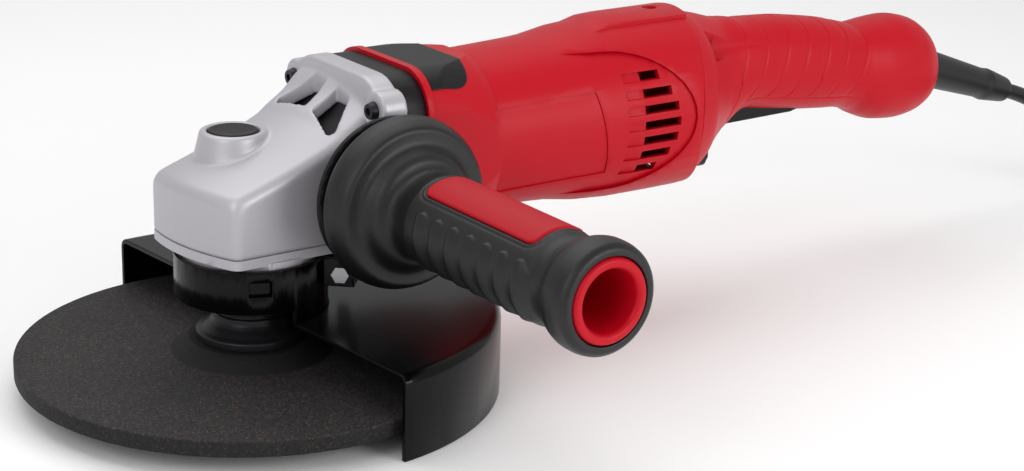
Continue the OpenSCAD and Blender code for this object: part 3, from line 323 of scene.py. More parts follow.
def material(name, color, rough, metal, grain, dust, gloss):
    """A finish from one colour: dusted a little, with its own gloss and surface grain."""
    made = bpy.data.materials.new(name)
    made.use_nodes = True
    tree = made.node_tree
    shader = tree.nodes["Principled BSDF"]
    shader.inputs["Roughness"].default_value = rough
    shader.inputs["Metallic"].default_value = metal
    shader.inputs["Specular IOR Level"].default_value = gloss
    dusty = tree.nodes.new("ShaderNodeGroup")
    dusty.node_tree = DUST
    dusty.inputs["Color"].default_value = linear(*color)
    dusty.inputs["Dust"].default_value = linear(150, 146, 142)
    dusty.inputs["Amount"].default_value = dust
    bumps = tree.nodes.new("ShaderNodeGroup")
    bumps.node_tree = GRAIN
    bumps.inputs["Scale"].default_value = grain[0]
    bumps.inputs["Strength"].default_value = grain[1]
    tree.links.new(dusty.outputs["Color"], shader.inputs["Base Color"])
    tree.links.new(bumps.outputs["Normal"], shader.inputs["Normal"])
    return made


print("node groups:", len(bpy.data.node_groups))

# %% Finishes
# colour as seen, roughness, metal, scale and strength of the grain, dust, gloss
LOOKS = {
    "silver_paint": ((182, 179, 185), 0.42, 0.35, (1500, 0.1), 0.03, 0.5),
    "red_plastic": ((181, 3, 25), 0.42, 0.0, (1900, 0.1), 0.0, 0.2),
    "black_plastic": ((13, 13, 15), 0.45, 0.0, (1500, 0.1), 0.0, 0.25),
    "grey_plastic": ((72, 72, 76), 0.5, 0.0, (1500, 0.1), 0.03, 0.4),
    "black_rubber": ((15, 15, 17), 0.4, 0.0, (1700, 0.18), 0.0, 0.42),
    "red_rubber": ((176, 4, 24), 0.46, 0.0, (1700, 0.12), 0.0, 0.2),
    "black_enamel": ((4, 4, 5), 0.2, 0.0, (260, 0.02), 0.0, 0.16),
    "steel": ((176, 176, 178), 0.3, 1.0, (900, 0.05), 0.02, 0.5),
    "dark_steel": ((38, 38, 41), 0.36, 0.5, (900, 0.06), 0.02, 0.4),
    "bright_zinc": ((150, 150, 153), 0.22, 1.0, (600, 0.03), 0.02, 0.5),
    "laminate": ((120, 120, 124), 0.5, 0.8, (900, 0.1), 0.05, 0.5),
    "copper": ((184, 106, 66), 0.35, 0.9, (1200, 0.15), 0.03, 0.5),
    "brass": ((196, 168, 104), 0.3, 1.0, (900, 0.05), 0.03, 0.5),
    "carbon": ((34, 34, 35), 0.7, 0.0, (900, 0.2), 0.03, 0.5),
}
FINISH = {name: material(name, *look) for name, look in LOOKS.items()}


def abrasive():
    """Bonded grit: dark resin with brown grains and a bump for every grain. The hub is dark out to
    40 mm from the axis, and the rim, under 7.4 mm, is dimmed below the flat as painted shade."""
    made = bpy.data.materials.new("abrasive")
    made.use_nodes = True
    tree = made.node_tree
    link = tree.links.new
    shader = tree.nodes["Principled BSDF"]
    shader.inputs["Roughness"].default_value = 0.7
    shader.inputs["Specular IOR Level"].default_value = 0.3
    place = tree.nodes.new("ShaderNodeTexCoord")
    cells = add(tree, "ShaderNodeTexVoronoi", Scale=1500.0)
    noise = add(tree, "ShaderNodeTexNoise", Scale=620.0, Detail=6.0, Roughness=0.75)
    patches = add(tree, "ShaderNodeTexNoise", Scale=22.0, Detail=3.0)
    tint = tree.nodes.new("ShaderNodeValToRGB")
    tint.color_ramp.elements[0].color = linear(20, 19, 20)
    tint.color_ramp.elements[0].position = 0.35
    tint.color_ramp.elements[1].color = linear(66, 64, 66)
    tint.color_ramp.elements[1].position = 0.72
    specks = tree.nodes.new("ShaderNodeValToRGB")
    specks.color_ramp.elements[0].position = 0.93
    specks.color_ramp.elements[0].color = (0, 0, 0, 1)
    specks.color_ramp.elements[1].position = 0.97
    split = tree.nodes.new("ShaderNodeSeparateColor")
    mix = tree.nodes.new("ShaderNodeMix")
    mix.data_type = "RGBA"
    mix.inputs["B"].default_value = linear(104, 76, 64)
    shade = tree.nodes.new("ShaderNodeMix")
    shade.data_type = "RGBA"
    shade.blend_type = "MULTIPLY"
    shade.inputs["Factor"].default_value = 0.35
    ring = add(tree, "ShaderNodeVectorMath", "LENGTH")
    flat = add(tree, "ShaderNodeVectorMath", "MULTIPLY")
    flat.inputs[1].default_value = (1, 1, 0)
    hub = add(tree, "ShaderNodeMapRange", From_Min=0.0392, From_Max=0.0402)
    dark_hub = tree.nodes.new("ShaderNodeMix")
    dark_hub.data_type = "RGBA"
    dark_hub.inputs["A"].default_value = linear(17, 17, 18)
    height = tree.nodes.new("ShaderNodeSeparateXYZ")
    # painted shade: the rim, under 7.4 mm, is dimmed to 0.45 of its colour
    rim = add(tree, "ShaderNodeMapRange", From_Min=0.0074, From_Max=0.0083, To_Min=0.45)
    painted_rim_shade = add(tree, "ShaderNodeVectorMath", "SCALE")
    bump = add(tree, "ShaderNodeBump", Strength=0.75, Distance=0.0006)
    for node in (cells, noise, patches):
        link(place.outputs["Object"], node.inputs["Vector"])
    link(noise.outputs[0], tint.inputs[0])
    link(cells.outputs["Color"], split.inputs[0])
    link(split.outputs[0], specks.inputs[0])
    link(specks.outputs[0], mix.inputs["Factor"])
    link(tint.outputs[0], mix.inputs["A"])
    link(mix.outputs["Result"], shade.inputs["A"])
    link(patches.outputs[0], shade.inputs["B"])
    link(place.outputs["Object"], flat.inputs[0])
    link(flat.outputs[0], ring.inputs[0])
    link(ring.outputs["Value"], hub.inputs["Value"])
    link(hub.outputs[0], dark_hub.inputs["Factor"])
    link(shade.outputs["Result"], dark_hub.inputs["B"])
    link(place.outputs["Object"], height.inputs[0])
    link(height.outputs["Z"], rim.inputs["Value"])
    link(dark_hub.outputs["Result"], painted_rim_shade.inputs[0])
    link(rim.outputs[0], painted_rim_shade.inputs["Scale"])
    link(painted_rim_shade.outputs[0], shader.inputs["Base Color"])
    link(noise.outputs[0], bump.inputs["Height"])
    link(bump.outputs[0], shader.inputs["Normal"])
    return made


FINISH["abrasive"] = abrasive()
SLOT = {s["node"]: s["material_slot"] for s in frame["record"]["subparts"]}
for name, node in nodes.items():
    node.data.materials.clear()
    node.data.materials.append(FINISH[SLOT[name]])


def dressed(piece, slot, body, *instead_of):
    """Gives a piece its finish and its body, and hides the CAD nodes that it stands for."""
    piece.data.materials.clear()
    piece.data.materials.append(FINISH[slot])
    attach(piece, body)
    if instead_of:
        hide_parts(*instead_of)
    return piece


print("finishes:", len(FINISH))

# %% [markdown]
# ## The cord
#
# The mains lead is one line. It leaves the strain relief, falls to the surface behind the tail,
# turns eleven and a half times in a flat coil and ends in the plug. The coil has four lanes in
# three layers, and the passes that cross from lane to lane all do so on its far side.

# %% Cord
WIRE = 9.5
COIL_X, COIL_Y, COIL_R = 668, -70, 66.75  # middle of the coil, and radius of its outer lane
TURNS = 11.5
PASS = 0.14  # share of a turn in which the cord passes to the next lane
# heights over the floor
DROP = np.array([
    [529, 0, 80.2], [536, 0, 78], [545, 0, 74.9], [556, 0, 70.4], [568, -0.1, 64.2],
    [580, -0.3, 56.4], [592, -0.6, 47.2], [604, -1, 37.2], [615, -1.5, 28], [626, -2, 19.6],
    [637, -2.4, 12.6], [648, -2.8, 7.6], [658, -3.1, 5.2],
])
LEAD = np.array([
    [655, -137.1, 14.1], [642, -138.6, 13.6], [630, -141.3, 13.6], [618, -145, 14.6],
    [607, -148.6, 16.4], [598, -151.4, 17.6],
])
LANES = [
    (0, 0), (1, 0), (2, 0), (3, 0), (3, 1), (3, 2), (2, 2), (2, 1), (1, 1), (1, 2), (0, 2), (0, 1),
]
t = np.linspace(0, TURNS, int(TURNS * 20) + 1)
radii = np.array([COIL_R - WIRE * lane for lane, layer in LANES])
heights = np.array([WIRE * (0.5 + layer) for lane, layer in LANES])
whole = np.minimum(t.astype(int), len(LANES) - 1)
begin = 0.62 + 0.02 * (len(LANES) - whole)
blend = step(0, 1, (t - whole - begin) / PASS)
follow = np.minimum(whole + 1, len(LANES) - 1)
radius = radii[whole] + (radii[follow] - radii[whole]) * blend
height = heights[whole] + (heights[follow] - heights[whole]) * blend
angle = np.pi / 2 - 2 * np.pi * t
coil_x, coil_y = COIL_X + radius * np.cos(angle), COIL_Y + radius * np.sin(angle)
route = np.vstack([DROP, np.stack([coil_x, coil_y, height], axis=1), LEAD])
route[:, 2] -= FLOOR
line = bpy.data.curves.new("mains_cord", "CURVE")
line.dimensions = "3D"
line.bevel_depth = WIRE / 2 * MM
line.bevel_resolution = 5
line.resolution_u = 4
line.use_fill_caps = True
spline = line.splines.new("BEZIER")
spline.bezier_points.add(len(route) - 1)
spline.bezier_points.foreach_set("co", (route * MM).ravel())
for point in spline.bezier_points:
    point.handle_left_type = point.handle_right_type = "AUTO"
mains_cord = bpy.data.objects.new("mains_cord", line)
bpy.context.scene.collection.objects.link(mains_cord)
dressed(mains_cord, "black_rubber", "machine", "power_cord", "cord_coil", "plug_lead")

# %% [markdown]
# ## Tail handle
#
# Both halves are one surface, mirrored. Its section is an oval that changes along the handle in
# its centre, its width, and its heights above and below the centre. The front edge follows the
# curved seam against the housing, and the lower edge steps aside for the paddle and the catch.
# Seven fine grooves cross the grip, and four channels lead to the mounting screws.

# %% Tail handle
# place along the motor's axis, height of the centre, half width, height above it, height below
TAIL = np.array([
    [244, 103.2, 48.2, 48.6, 48.6], [258, 103.4, 43.0, 46.6, 43.8], [266, 103.8, 37.1, 44.3, 38.3],
    [276, 104.6, 30.4, 41.1, 32.6], [285, 106.0, 25.8, 37.1, 28.4], [292, 109.4, 24.4, 32.6, 27.0],
    [298, 112.6, 24.1, 28.8, 26.3], [306, 114.2, 23.8, 25.9, 25.6], [320, 113.1, 23.0, 26.4, 26.4],
    [336, 111.4, 23.2, 27.0, 27.0], [352, 109.2, 23.4, 26.9, 26.9], [368, 107.0, 23.2, 26.4, 26.4],
    [382, 104.6, 22.4, 25.4, 25.4], [390, 102.4, 22.8, 25.4, 25.4], [398, 100.2, 24.6, 27.4, 27.4],
    [410, 98.6, 26.8, 30.0, 30.0], [424, 98.2, 27.4, 31.0, 31.0], [436, 97.6, 26.0, 29.4, 29.4],
    [446, 96.4, 22.4, 25.0, 25.0], [452.5, 94.8, 17.6, 19.0, 19.0], [456, 93.6, 13.6, 14.0, 14.0],
])
GROOVES = [298, 314, 330, 345, 361, 376, 392]
SEAM_X, SEAM_R, SEAM_Y = 168, 90.25, 47.6  # the seam's upright cylinder, and its half width
FRONT = 262  # from here on, every section is flat
CHANNEL_R = 7.2
POWER = 0.93  # of the oval's sine and cosine
HALF_GAP = 0.12
PADDLE_GAP, CATCH_GAP = (291.8, 353), (271.5, 290)


def opening(x):
    """Distance of a half shell's lower edge from the middle: wide beside the paddle and the
    catch, almost nothing elsewhere."""
    by_paddle = (x > PADDLE_GAP[0]) & (x < PADDLE_GAP[1])
    by_catch = (x > CATCH_GAP[0]) & (x < CATCH_GAP[1])
    return np.where(by_paddle, 9.2, np.where(by_catch, 6.5, HALF_GAP))


def tail_surface(x, share):
    """Points of the left half. x is the place along the handle, and share runs from the upper
    edge, 0, to the lower edge, 1."""
    middle, wide, up, down = (through(TAIL[:, 0], TAIL[:, k], x) for k in (1, 2, 3, 4))
    first = np.arccos((HALF_GAP / wide) ** (1 / POWER))
    last = np.arccos((opening(x) / wide) ** (1 / POWER))
    angle = first - share * (first + last)
    c, s = np.cos(angle), np.sin(angle)
    y = -wide * np.abs(c) ** POWER
    z = np.where(s > 0, up, down) * np.sign(s) * np.abs(s) ** POWER
    reach = np.hypot(y, z)
    turn = np.degrees(angle)
    # grooves: straight over the top, swept forward below, and closed by a line along the grip
    sweep = 11.5 * np.clip((50 - turn) / 72, 0, 1.3) ** 1.6
    above = step(-37, -34, turn)
    cut = sum(0.55 * np.exp(-(((x - g + sweep) / 0.62) ** 2)) for g in GROOVES) * above
    ledge = 0.45 * np.exp(-(((turn + 37) * 0.42 / 0.7) ** 2))
    ledge = ledge * step(296, 304, x) * step(392, 380, x)
    reach_cut = (cut + ledge) / reach
    y, z = y * (1 - reach_cut), z * (1 - reach_cut)
    # channels that lead a screwdriver to the mounting screws
    for side in (1, -1):
        cy, cz = -MOUNT_Y, MOTOR_Z + side * MOUNT_Z - middle
        d = np.hypot(cy, cz)
        size = np.hypot(y, z)
        across = np.abs(y * cz - z * cy) / size
        along = (y * cy + z * cz) / size
        hollow = np.sqrt(np.clip(CHANNEL_R**2 - across**2, 0, None))
        floor_at = np.sqrt(np.clip(d * d - across**2, 0, None)) - hollow
        share_in = step(CHANNEL_R + 0.3, CHANNEL_R - 0.5, across) * (x > 262.5) * (along > 0)
        lower = np.minimum(floor_at / size, 1)
        scale = 1 + (lower - 1) * share_in
        y, z = y * scale, z * scale
    return np.stack([x, y, z + middle], axis=-1)


def tail_grid():
    """The left half's grid. Its first rows follow the seam and ease into flat sections. A pair of
    close rows stands at each end of a gap, and rows are denser beside the channels."""
    edges = [end + aside for end in (*CATCH_GAP, *PADDLE_GAP) for aside in (-0.05, 0.05)]
    rows = np.concatenate([
        np.arange(246, 262.4, 0.8), [262.45, 262.55], np.arange(263, 285, 0.45),
        np.arange(285.5, 400, 0.45), np.arange(400, 456, 1.0), [456], edges,
    ])
    rows = np.unique(rows.round(3))
    fine = [51 - np.linspace(-14, 14, 42), -51 - np.linspace(-14, 14, 42)]
    share = np.unique(np.concatenate([np.linspace(0, 1, 64), *[0.5 - a / 180 for a in fine]]))
    share = np.clip(share, 0, 1)
    turn = np.radians(90 - 180 * share)
    seam_y = SEAM_Y * np.abs(np.cos(turn)) ** POWER
    start = SEAM_X + np.sqrt(SEAM_R**2 - seam_y**2)
    x = rows[:, None] + 0 * share[None, :]
    early = np.clip((FRONT - rows[:, None]) / 16, 0, 1)
    x = np.where(rows[:, None] < FRONT, FRONT + (start[None, :] - FRONT) * early, x)
    return tail_surface(x, share[None, :] + 0 * x)


left_points = tail_grid()
tail_left = skin("tail_handle_left", left_points)
right_points = left_points * np.array([1, -1, 1])
tail_right = skin("tail_handle_right", right_points, flip=True)
for shell, node in ((tail_left, "tail_shell_left"), (tail_right, "tail_shell_right")):
    modifier(shell, "SOLIDIFY", thickness=2.6 * MM, offset=-1, use_rim=True, use_rim_only=True)
    softened(shell, 0.35, 55)
    dressed(shell, "red_plastic", "machine", node)
print("tail points:", left_points.shape)

# %% [markdown]
# ## Gear case
#
# The casting starts as overlapping solids: the head, the flange, the four ears, the boss of the
# lock button and the two bosses of the side handle. A fine voxel remesh joins them, the rooms
# inside are cut out, and a second remesh with a little smoothing leaves the soft fillets and
# rounded window edges of a casting.

# %% Head of the casting
HALF_W = 33.3
JOINT = 66.7  # height of the head's lower face
SKEW = 0.15  # how far the head leans forward across its width
ROOF = np.array([[-37, 92.7], [26, 117.2], [30, 120.3], [41, 127.9], [50, 136.5], [60, 140]])


def head_front(y):
    """Place of the front wall at a distance y from the middle: a shallow parabola that ends in
    a quarter circle at each corner."""
    end = np.clip(np.abs(y) - HALF_W + 3, 0, 3)
    return -36.6 + 5.9 * (y / HALF_W) ** 2 + 3 - np.sqrt(9 - end**2)


def edge_drop(d, r):
    """How far a rounded edge lies under the flat at a distance d from the wall."""
    e = np.clip(r - np.clip(d, 0, None), 0, r)
    return r - np.sqrt(r * r - e * e)


def head_top(x, y):
    """Height of the roof: a sloping curve with a slight crown and rounded edges."""
    height = through(ROOF[:, 0], ROOF[:, 1], x) + 4 * (1 - (y / HALF_W) ** 2)
    return height - edge_drop(x - head_front(y), 5) - edge_drop(HALF_W - np.abs(y), 5)


def closed_solid(name, rings):
    """A closed solid through rings of points, with a flat face at each end."""
    made = skin(name, rings, closed=True)
    count, size = rings.shape[:2]
    shape = bmesh.new()
    shape.from_mesh(made.data)
    shape.verts.ensure_lookup_table()
    shape.faces.new([shape.verts[i] for i in range(size)])
    shape.faces.new([shape.verts[i] for i in range(count * size - 1, (count - 1) * size - 1, -1)])
    bmesh.ops.recalc_face_normals(shape, faces=shape.faces)
    shape.to_mesh(made.data)
    shape.free()
    return made


wall_y = np.concatenate([np.linspace(2, 30, 15), [30.5, 31, 31.5, 32, 32.4, 32.8, 33.1, 33.25]])
back_x = np.arange(-27.2, 54, 1.4)
ring_x = np.concatenate([head_front(wall_y), back_x])
ring_w = np.concatenate([wall_y, 0 * back_x + HALF_W])
turn = np.linspace(0, np.pi, 61)
top_y = ring_w[:, None] * np.cos(turn)
top_z = head_top(ring_x[:, None] + 0 * top_y, top_y)
foot_y = ring_w[:, None] * np.linspace(-1, 1, 12)
ring_y = np.hstack([foot_y, top_y])
ring_z = np.hstack([0 * foot_y + JOINT, top_z])
rings = np.stack([ring_x[:, None] - SKEW * ring_y, ring_y, ring_z], axis=-1)
head = closed_solid("gear_case_casting", rings)
print("head rings:", rings.shape)


# %% Flange, ears and boss
def round_rect(half_w, half_h, radius, steps=10):
    """Corner points of a rectangle with round corners, once round from +y."""
    t = np.linspace(0, np.pi / 2, steps)
    corners = [(1, 1, 0), (-1, 1, 90), (-1, -1, 180), (1, -1, 270)]
    parts = [
        np.stack([
            sy * (half_w - radius) + radius * np.cos(t + np.radians(a)),
            sz * (half_h - radius) + radius * np.sin(t + np.radians(a)),
        ], axis=1)
        for sy, sz, a in corners
    ]
    return np.vstack(parts)


def prism(name, sections, place):
    """A closed solid from sections: pairs of an outline and its distance along the axis."""
    rows = [np.column_stack([outline, np.full(len(outline), d)]) for outline, d in sections]
    return closed_solid(name, place(np.stack(rows)))


def spun(name, outline, place, sides=64):
    """A closed solid turned from pairs of radius and distance, which need not start on the axis."""
    line = np.asarray(outline, float)
    t = np.linspace(0, 2 * np.pi, sides, endpoint=False)
    return closed_solid(name, place(around(line[:, :1], line[:, 1:], t)))


def beside(dy, dz, place):
    """The same placing, moved sideways by dy and dz on its own axes."""
    return lambda local: place(local + np.array([dy, dz, 0]))


def joined(first, others):
    """One object with the others' meshes added to the first's."""
    shape = bmesh.new()
    for one in [first, *others]:
        shape.from_mesh(one.data)
    shape.to_mesh(first.data)
    shape.free()
    for one in others:
        bpy.data.objects.remove(one)
    return first


FACE, REAR = 47.5, 60  # front and rear of the flange, along the motor's axis
outline = round_rect(42, 42.5, 20)
inner_outline = round_rect(40.8, 41.3, 18.8)
flange = prism("flange", [(inner_outline, FACE), (outline, FACE + 1.2), (outline, REAR)], on_motor)
CORNERS = [(y, z) for y in (-37.5, 37.5) for z in (-28.5, 28.5)]
ears = [
    spun("ear", [(8.2, FACE - 1), (9.2, FACE), (9.2, REAR)], beside(y, z, on_motor))
    for y, z in CORNERS
]
boss = spun("boss", [
    (20.2, 96), (19.9, 101), (19.0, 105.5), (17.9, 109.5), (17.0, 113.5), (16.5, 115.6),
    (15.5, 116.6),
], beside(LOCK_X, LOCK_Y, on_spindle))


def across_head(side):
    """The placing of a handle boss. Local z runs out of the head, to one side or the other."""
    start = (HANDLE_X, side * 17, HANDLE_Z)
    return lambda local: placed(local, start, (1, 0, 0), (0, 0, 1), (0, side, 0))


sides = [spun("handle_boss", [(12.8, 0), (12.8, 30)], across_head(side)) for side in (-1, 1)]
joined(head, [flange, *ears, boss, *sides])
modifier(head, "REMESH", mode="VOXEL", voxel_size=0.8 * MM)
baked(head)
print("joined casting:", len(head.data.polygons))

# %% Rooms, windows and bores
VENT = np.array([[46, 5], [46, 15.6], [32, 26], [28.6, 24.5], [32.6, 3.2]])


def upright(name, plan, low, high):
    """A closed prism that stands upright on an outline in plan."""
    return prism(name, [(plan, low), (plan, high)], on_spindle)


def on_side(local):
    """Local x runs towards the tail, y upwards and z across to the right."""
    return placed(local, (0, 0, 0), (1, 0, 0), (0, 0, 1), (0, 1, 0))


windows = [upright("window", VENT * [1, side], 115.9, 150) for side in (1, -1)]
DUCT = np.array([
    [30, 115.5], [34, 115.5], [36, 119.6], [59, 119.6], [59, 131], [47, 128], [30, 116.5],
])
duct = prism("duct", [(DUCT, -25), (DUCT, 25)], on_side)
rooms = [
    spun("crown_room", [(26.3, 60), (26.3, 95.8), (17, 99)], on_spindle),
    spun("needle_room", [(8.2, 90), (8.2, 106)], on_spindle),
    spun("pinion_room", [
        (7.6, 13), (11, 26.1), (11, 44), (15.2, 46), (15.2, 57), (36.5, 57), (36.5, 70),
    ], on_motor),
    spun("button_room", [(12.7, 106.5), (12.7, 115.6), (14.2, 118)],
         beside(LOCK_X, LOCK_Y, on_spindle)),
    spun("pin_room", [(2.9, 90), (2.9, 112)], beside(-1.7, 13.9, on_spindle), 24),
]
for y, z in CORNERS:
    rooms.append(spun("screw_room", [(5.0, 40), (5.0, FACE - 1), (2.6, FACE - 0.8), (2.6, 70)],
                      beside(y, z, on_motor), 32))
for cutter in [*windows, duct, *rooms]:
    carved(head, cutter)
modifier(head, "REMESH", mode="VOXEL", voxel_size=0.62 * MM)
modifier(head, "SMOOTH", factor=0.5, iterations=11)
modifier(head, "DECIMATE", ratio=0.5)
baked(head)
head.data.polygons.foreach_set("use_smooth", np.ones(len(head.data.polygons), bool))
dressed(head, "silver_paint", "machine", "gear_case")
print("casting faces:", len(head.data.polygons))

# %% [markdown]
# ## Side handle
#
# The grip is one turned surface. Its radius is lowered where the red inlay sits and raised in
# seven slanting ribs on each side, which are steep at one edge and fade out towards the next. The
# inlay and the sleeve in the grip's end are pieces of their own.

# %% Grip
GRIP_R = 22.3
INLAY_W, INLAY_L, INLAY_MID, INLAY_R = 10.8, 37.4, 96.2, 4.8  # half sizes, middle, corner radius
RIB_START, RIB_PITCH, RIB_H, RIBS = 59.5, 12.4, 1.7, 7
# radius and distance along the handle: out of the foot, round the bell, and into the far end
GRIP = np.array([
    [6.2, 9.5], [37.8, 9.5], [41.0, 11.2], [42, 13.5], [42, 17.0], [41.4, 20.4], [40.0, 23.8],
    [38.8, 25.8], [37.2, 26.9], [34.2, 27.0], [31.8, 27.3], [29.8, 28.5], [28.4, 30.6],
    [27.2, 32.8], [25.4, 34.4], [23.2, 35.3], [21.4, 36.6], [20.5, 38.8], [20.4, 42.0],
    [21.2, 46.4], [22.3, 51.0], [22.3, 138.0], [21.8, 141.5], [20.5, 145.0], [20.4, 149.0],
    [21.6, 153.2], [24.6, 158.2], [25.7, 162.5], [25.7, 168.0], [24.9, 171.8], [22.8, 174.0],
    [19.9, 174.0], [19.6, 173.0], [19.6, 150.0],
])


def inlay_edge(turn, d):
    """Distance outside the inlay's border: a rectangle with round corners laid round the grip.
    Inside it, the distance is negative."""
    across = np.abs(turn - 90) * np.pi / 180 * GRIP_R - INLAY_W
    along = np.abs(d - INLAY_MID) - INLAY_L
    outside = np.hypot(np.clip(across, 0, None), np.clip(along, 0, None))
    return outside + np.minimum(np.maximum(across, along), 0) - INLAY_R


def ribs(turn, d):
    """Height of the side ribs. Each starts with a step and slopes down over the next 0.7 of its
    pitch. It slants below the middle, its upper end is an arch, and its lower end fades out."""
    side = np.where(turn > 90, 180 - turn, turn)
    below = np.clip(-side, 0, None)
    u = (d - RIB_START - 0.0011 * below**2) / RIB_PITCH
    k = np.floor(u)
    part = u - k
    shape = step(0, 0.06, part) * (1 - step(0.1, 0.8, part))
    arch = 29 - 56 * (part - 0.3) ** 2
    ends = step(-1.6, 0.4, arch - side) * step(-56, -40, side)
    return RIB_H * shape * ends * ((k >= 0) & (k < RIBS))


line = refined(rounded(GRIP, 1.2, 4), 0.88)
turn = np.linspace(-90, 270, 240, endpoint=False)
radius, along = line[:, :1] + 0 * turn, line[:, 1:] + 0 * turn
outer = (along > 46) & (radius > 20.3) & (along < 150)
border = inlay_edge(turn[None, :], along)
pocket = 1.3 * step(0.9, 0.2, border)
groove = 0.45 * np.exp(-(((border - 2.6) / 0.4) ** 2))  # a fine frame round the inlay
radius = radius - np.where(outer, pocket, 0)
radius = radius - np.where(outer, groove, 0)
radius = radius + np.where(outer, ribs(turn[None, :], along), 0)
swept = around(radius, along, np.radians(turn))
grip = skin("grip_body_moulding", on_handle(swept), closed=True)
dressed(grip, "black_rubber", "machine", "grip_body")

turn = np.linspace(48, 132, 84)
along = np.linspace(53, 139.4, 160)[:, None] + 0 * turn
border = inlay_edge(turn[None, :], along)
radius = 22.75 - 0.5 * edge_drop(-border, 1.4) - 2.2 * step(-0.25, 0.1, border)
inlay = skin("grip_inlay_moulding", on_handle(around(radius, along, np.radians(turn))))
dressed(inlay, "red_rubber", "machine", "grip_inlay")
sleeve = turned("handle_end_sleeve", [
    (18.8, 131.5), (19.4, 132), (19.4, 173.2), (18.3, 175.0), (15.6, 175.0), (14.3, 173.4),
    (13.7, 168), (13.2, 135.4), (0.05, 135.2),
], on_handle, round_by=1.1)
dressed(sleeve, "red_plastic", "machine", "grip_end_sleeve")
print("grip points:", len(grip.data.vertices))

# %% [markdown]
# ## Smaller pieces
#
# The flange on the spindle is a turned cone with a rim. The panel on top of the housing is a sheet
# that wraps over both of the front block's rounded edges. The mounting screws show only their
# heads, deep in the tail's channels. A dark sheet under the roof of the gear case is painted shade
# for the depth of the air duct, and a dark ring lines the guard's collar behind its window.

# %% Flange
HUB_TOP = 15.8
flange = turned("inner_flange_turning", [
    (10.6, HUB_TOP), (27.4, HUB_TOP), (27.4, HUB_TOP + 3.6), (26.6, HUB_TOP + 4.3),
    (24.6, HUB_TOP + 4.9), (20.6, HUB_TOP + 8.2), (19.2, HUB_TOP + 10.2),
    (18.8, HUB_TOP + 12.9), (17.4, HUB_TOP + 13.0), (17.4, 47.3), (8.6, 47.4),
], on_spindle, round_by=0.7)
dressed(flange, "dark_steel", "spindle_set", "inner_flange")

# %% Top panel
FLAT, ROLL = 22, 20.4  # half of the flat middle, and radius of the rolled edges
across = np.linspace(40.4, -40.4, 96)
share = np.linspace(0, 1, 40)[:, None]
rear = 93 + 15 * (1 - np.abs(across / 40.5) ** 6) ** 0.45
x = 79 + (rear - 79) * share
bend = np.clip(np.abs(across) - FLAT, 0, None) / 20
y = np.sign(across) * (np.clip(np.abs(across), 0, FLAT) + ROLL * np.sin(bend)) + 0 * x
z = MOTOR_Z + 22 + ROLL * np.cos(bend) + 0 * x
panel = skin("top_panel_sheet", np.stack([x, y, z], axis=-1))
wrap = modifier(panel, "SHRINKWRAP", wrap_method="NEAREST_SURFACEPOINT", offset=0.4 * MM)
wrap.target = nodes["motor_housing"]
modifier(panel, "SOLIDIFY", thickness=0.5 * MM, offset=-1, use_rim=True, use_rim_only=True)
baked(panel)
dressed(panel, "black_plastic", "machine", "top_panel")

# %% Screw heads
profile = np.array([
    (0.1, 252), (3.9, 252), (3.9, 263.4), (2.4, 263.6), (2.4, 261.6), (0.1, 261.6),
])
ring = np.radians(np.arange(0, 360, 10))
grids = [
    on_motor(around(profile[:, :1], profile[:, 1:], ring) + [side * MOUNT_Y, up * MOUNT_Z, 0])
    for side, up in ((1, 1), (1, -1), (-1, 1), (-1, -1))
]
screws = skin("tail_mount_screw_heads", grids[0], closed=True)
joined(screws, [skin("screw_head", grid, closed=True) for grid in grids[1:]])
softened(screws, 0.2)
dressed(screws, "dark_steel", "machine", "tail_mount_screws")

# %% Collar lining
wall = np.array([[34.62, 59.8], [34.62, 38.7]])
ring = np.radians(np.arange(0, 360, 3))
inside = on_spindle(around(wall[:, :1], wall[:, 1:], ring))
lining = skin("collar_lining", inside, closed=True, flip=True)
dressed(lining, "black_enamel", "guard")

# %% Duct lining, a painted shade sheet
# painted shade: a black sheet under the vent windows stands in for the shade deep in the air duct
x = np.linspace(28.8, 47, 30)[:, None] + np.zeros((1, 24))
y = np.linspace(26.5, -26.5, 24)[None, :] + 0 * x
z = np.maximum(116.1, np.interp(x, [30, 41, 50], [120.3, 127.9, 136.5]) - 5.2)
lining = skin("painted_shade_duct_sheet", np.stack([x, y, z], axis=-1))
dressed(lining, "black_plastic", "machine")
print("flange points:", len(flange.data.vertices))

# %% [markdown]
# ## Edges
#
# The CAD nodes that are seen as they are get small rounded edges, so that they catch the light.

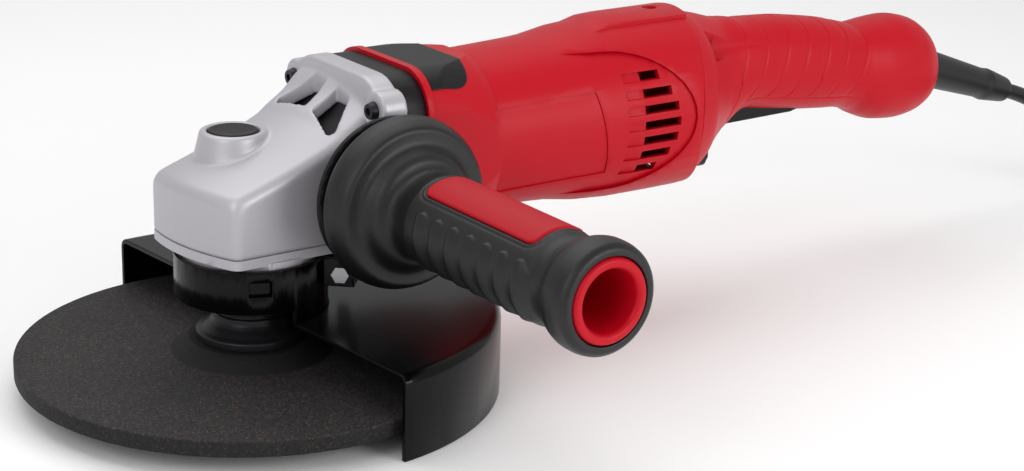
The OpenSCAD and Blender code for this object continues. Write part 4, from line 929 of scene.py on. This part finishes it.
# %% Rounded edges
ROUNDED = {
    "motor_housing": 0.5, "air_guide_ring": 0.6, "bearing_plate": 0.25, "guard_shell": 0.5,
    "guard_collar": 0.4, "handle_back_ring": 0.7, "handle_hub": 0.3, "handle_damper": 0.3,
    "paddle": 0.7, "lock_off_catch": 0.5, "case_screws": 0.3, "clamp_lever": 0.6,
    "clamp_bolt": 0.3, "lock_nut": 0.4, "lock_button": 0.5,
    "strain_relief": 0.3, "mains_plug": 0.6, "plug_pins": 0.5, "grinding_disc": 0.4,
    "tail_screws": 0.2,
}
for name, width in ROUNDED.items():
    softened(nodes[name], width)
print("rounded nodes:", len(ROUNDED))

# %% [markdown]
# ## Light and floor
#
# A pale floor, a broad soft light overhead and two smaller ones at the sides, as in a bright
# product studio.


# %% Studio
def softbox(name, power, place, aim, width, height):
    """A rectangular area light at one point, turned to face another."""
    light = bpy.data.lights.new(name, "AREA")
    light.shape = "RECTANGLE"
    light.size, light.size_y = width, height
    light.energy = power
    made = bpy.data.objects.new(name, light)
    bpy.context.scene.collection.objects.link(made)
    made.location = place
    made.rotation_euler = (Vector(aim) - Vector(place)).to_track_quat("-Z", "Y").to_euler()
    return made


softbox("overhead", 9, (0.1, 0.45, 1.3), (0.2, 0, 0), 1.6, 1.2)
softbox("key", 5.5, (-1.2, -0.6, 0.9), (0.1, 0, 0.05), 0.7, 0.9)
softbox("fill", 13, (0.65, -1.6, 0.6), (0.05, 0, 0.08), 0.9, 0.7)
world = bpy.data.worlds.new("studio")
world.use_nodes = True
world.node_tree.nodes["Background"].inputs["Color"].default_value = (1, 1, 1, 1)
world.node_tree.nodes["Background"].inputs["Strength"].default_value = 0.58
bpy.context.scene.world = world
bpy.context.scene.view_settings.view_transform = "Standard"
ground = bpy.data.meshes.new("floor")
corners = [(x, y, -FLOOR * MM) for x, y in ((-6, -6), (6, -6), (6, 6), (-6, 6))]
ground.from_pydata(corners, [], [(0, 1, 2, 3)])
floor = bpy.data.objects.new("floor", ground)
bpy.context.scene.collection.objects.link(floor)
white = bpy.data.materials.new("white_floor")
white.use_nodes = True
white.node_tree.nodes["Principled BSDF"].inputs["Base Color"].default_value = (0.95, 0.95, 0.95, 1)
white.node_tree.nodes["Principled BSDF"].inputs["Roughness"].default_value = 0.6
ground.materials.append(white)
print("lights:", len(bpy.data.lights))
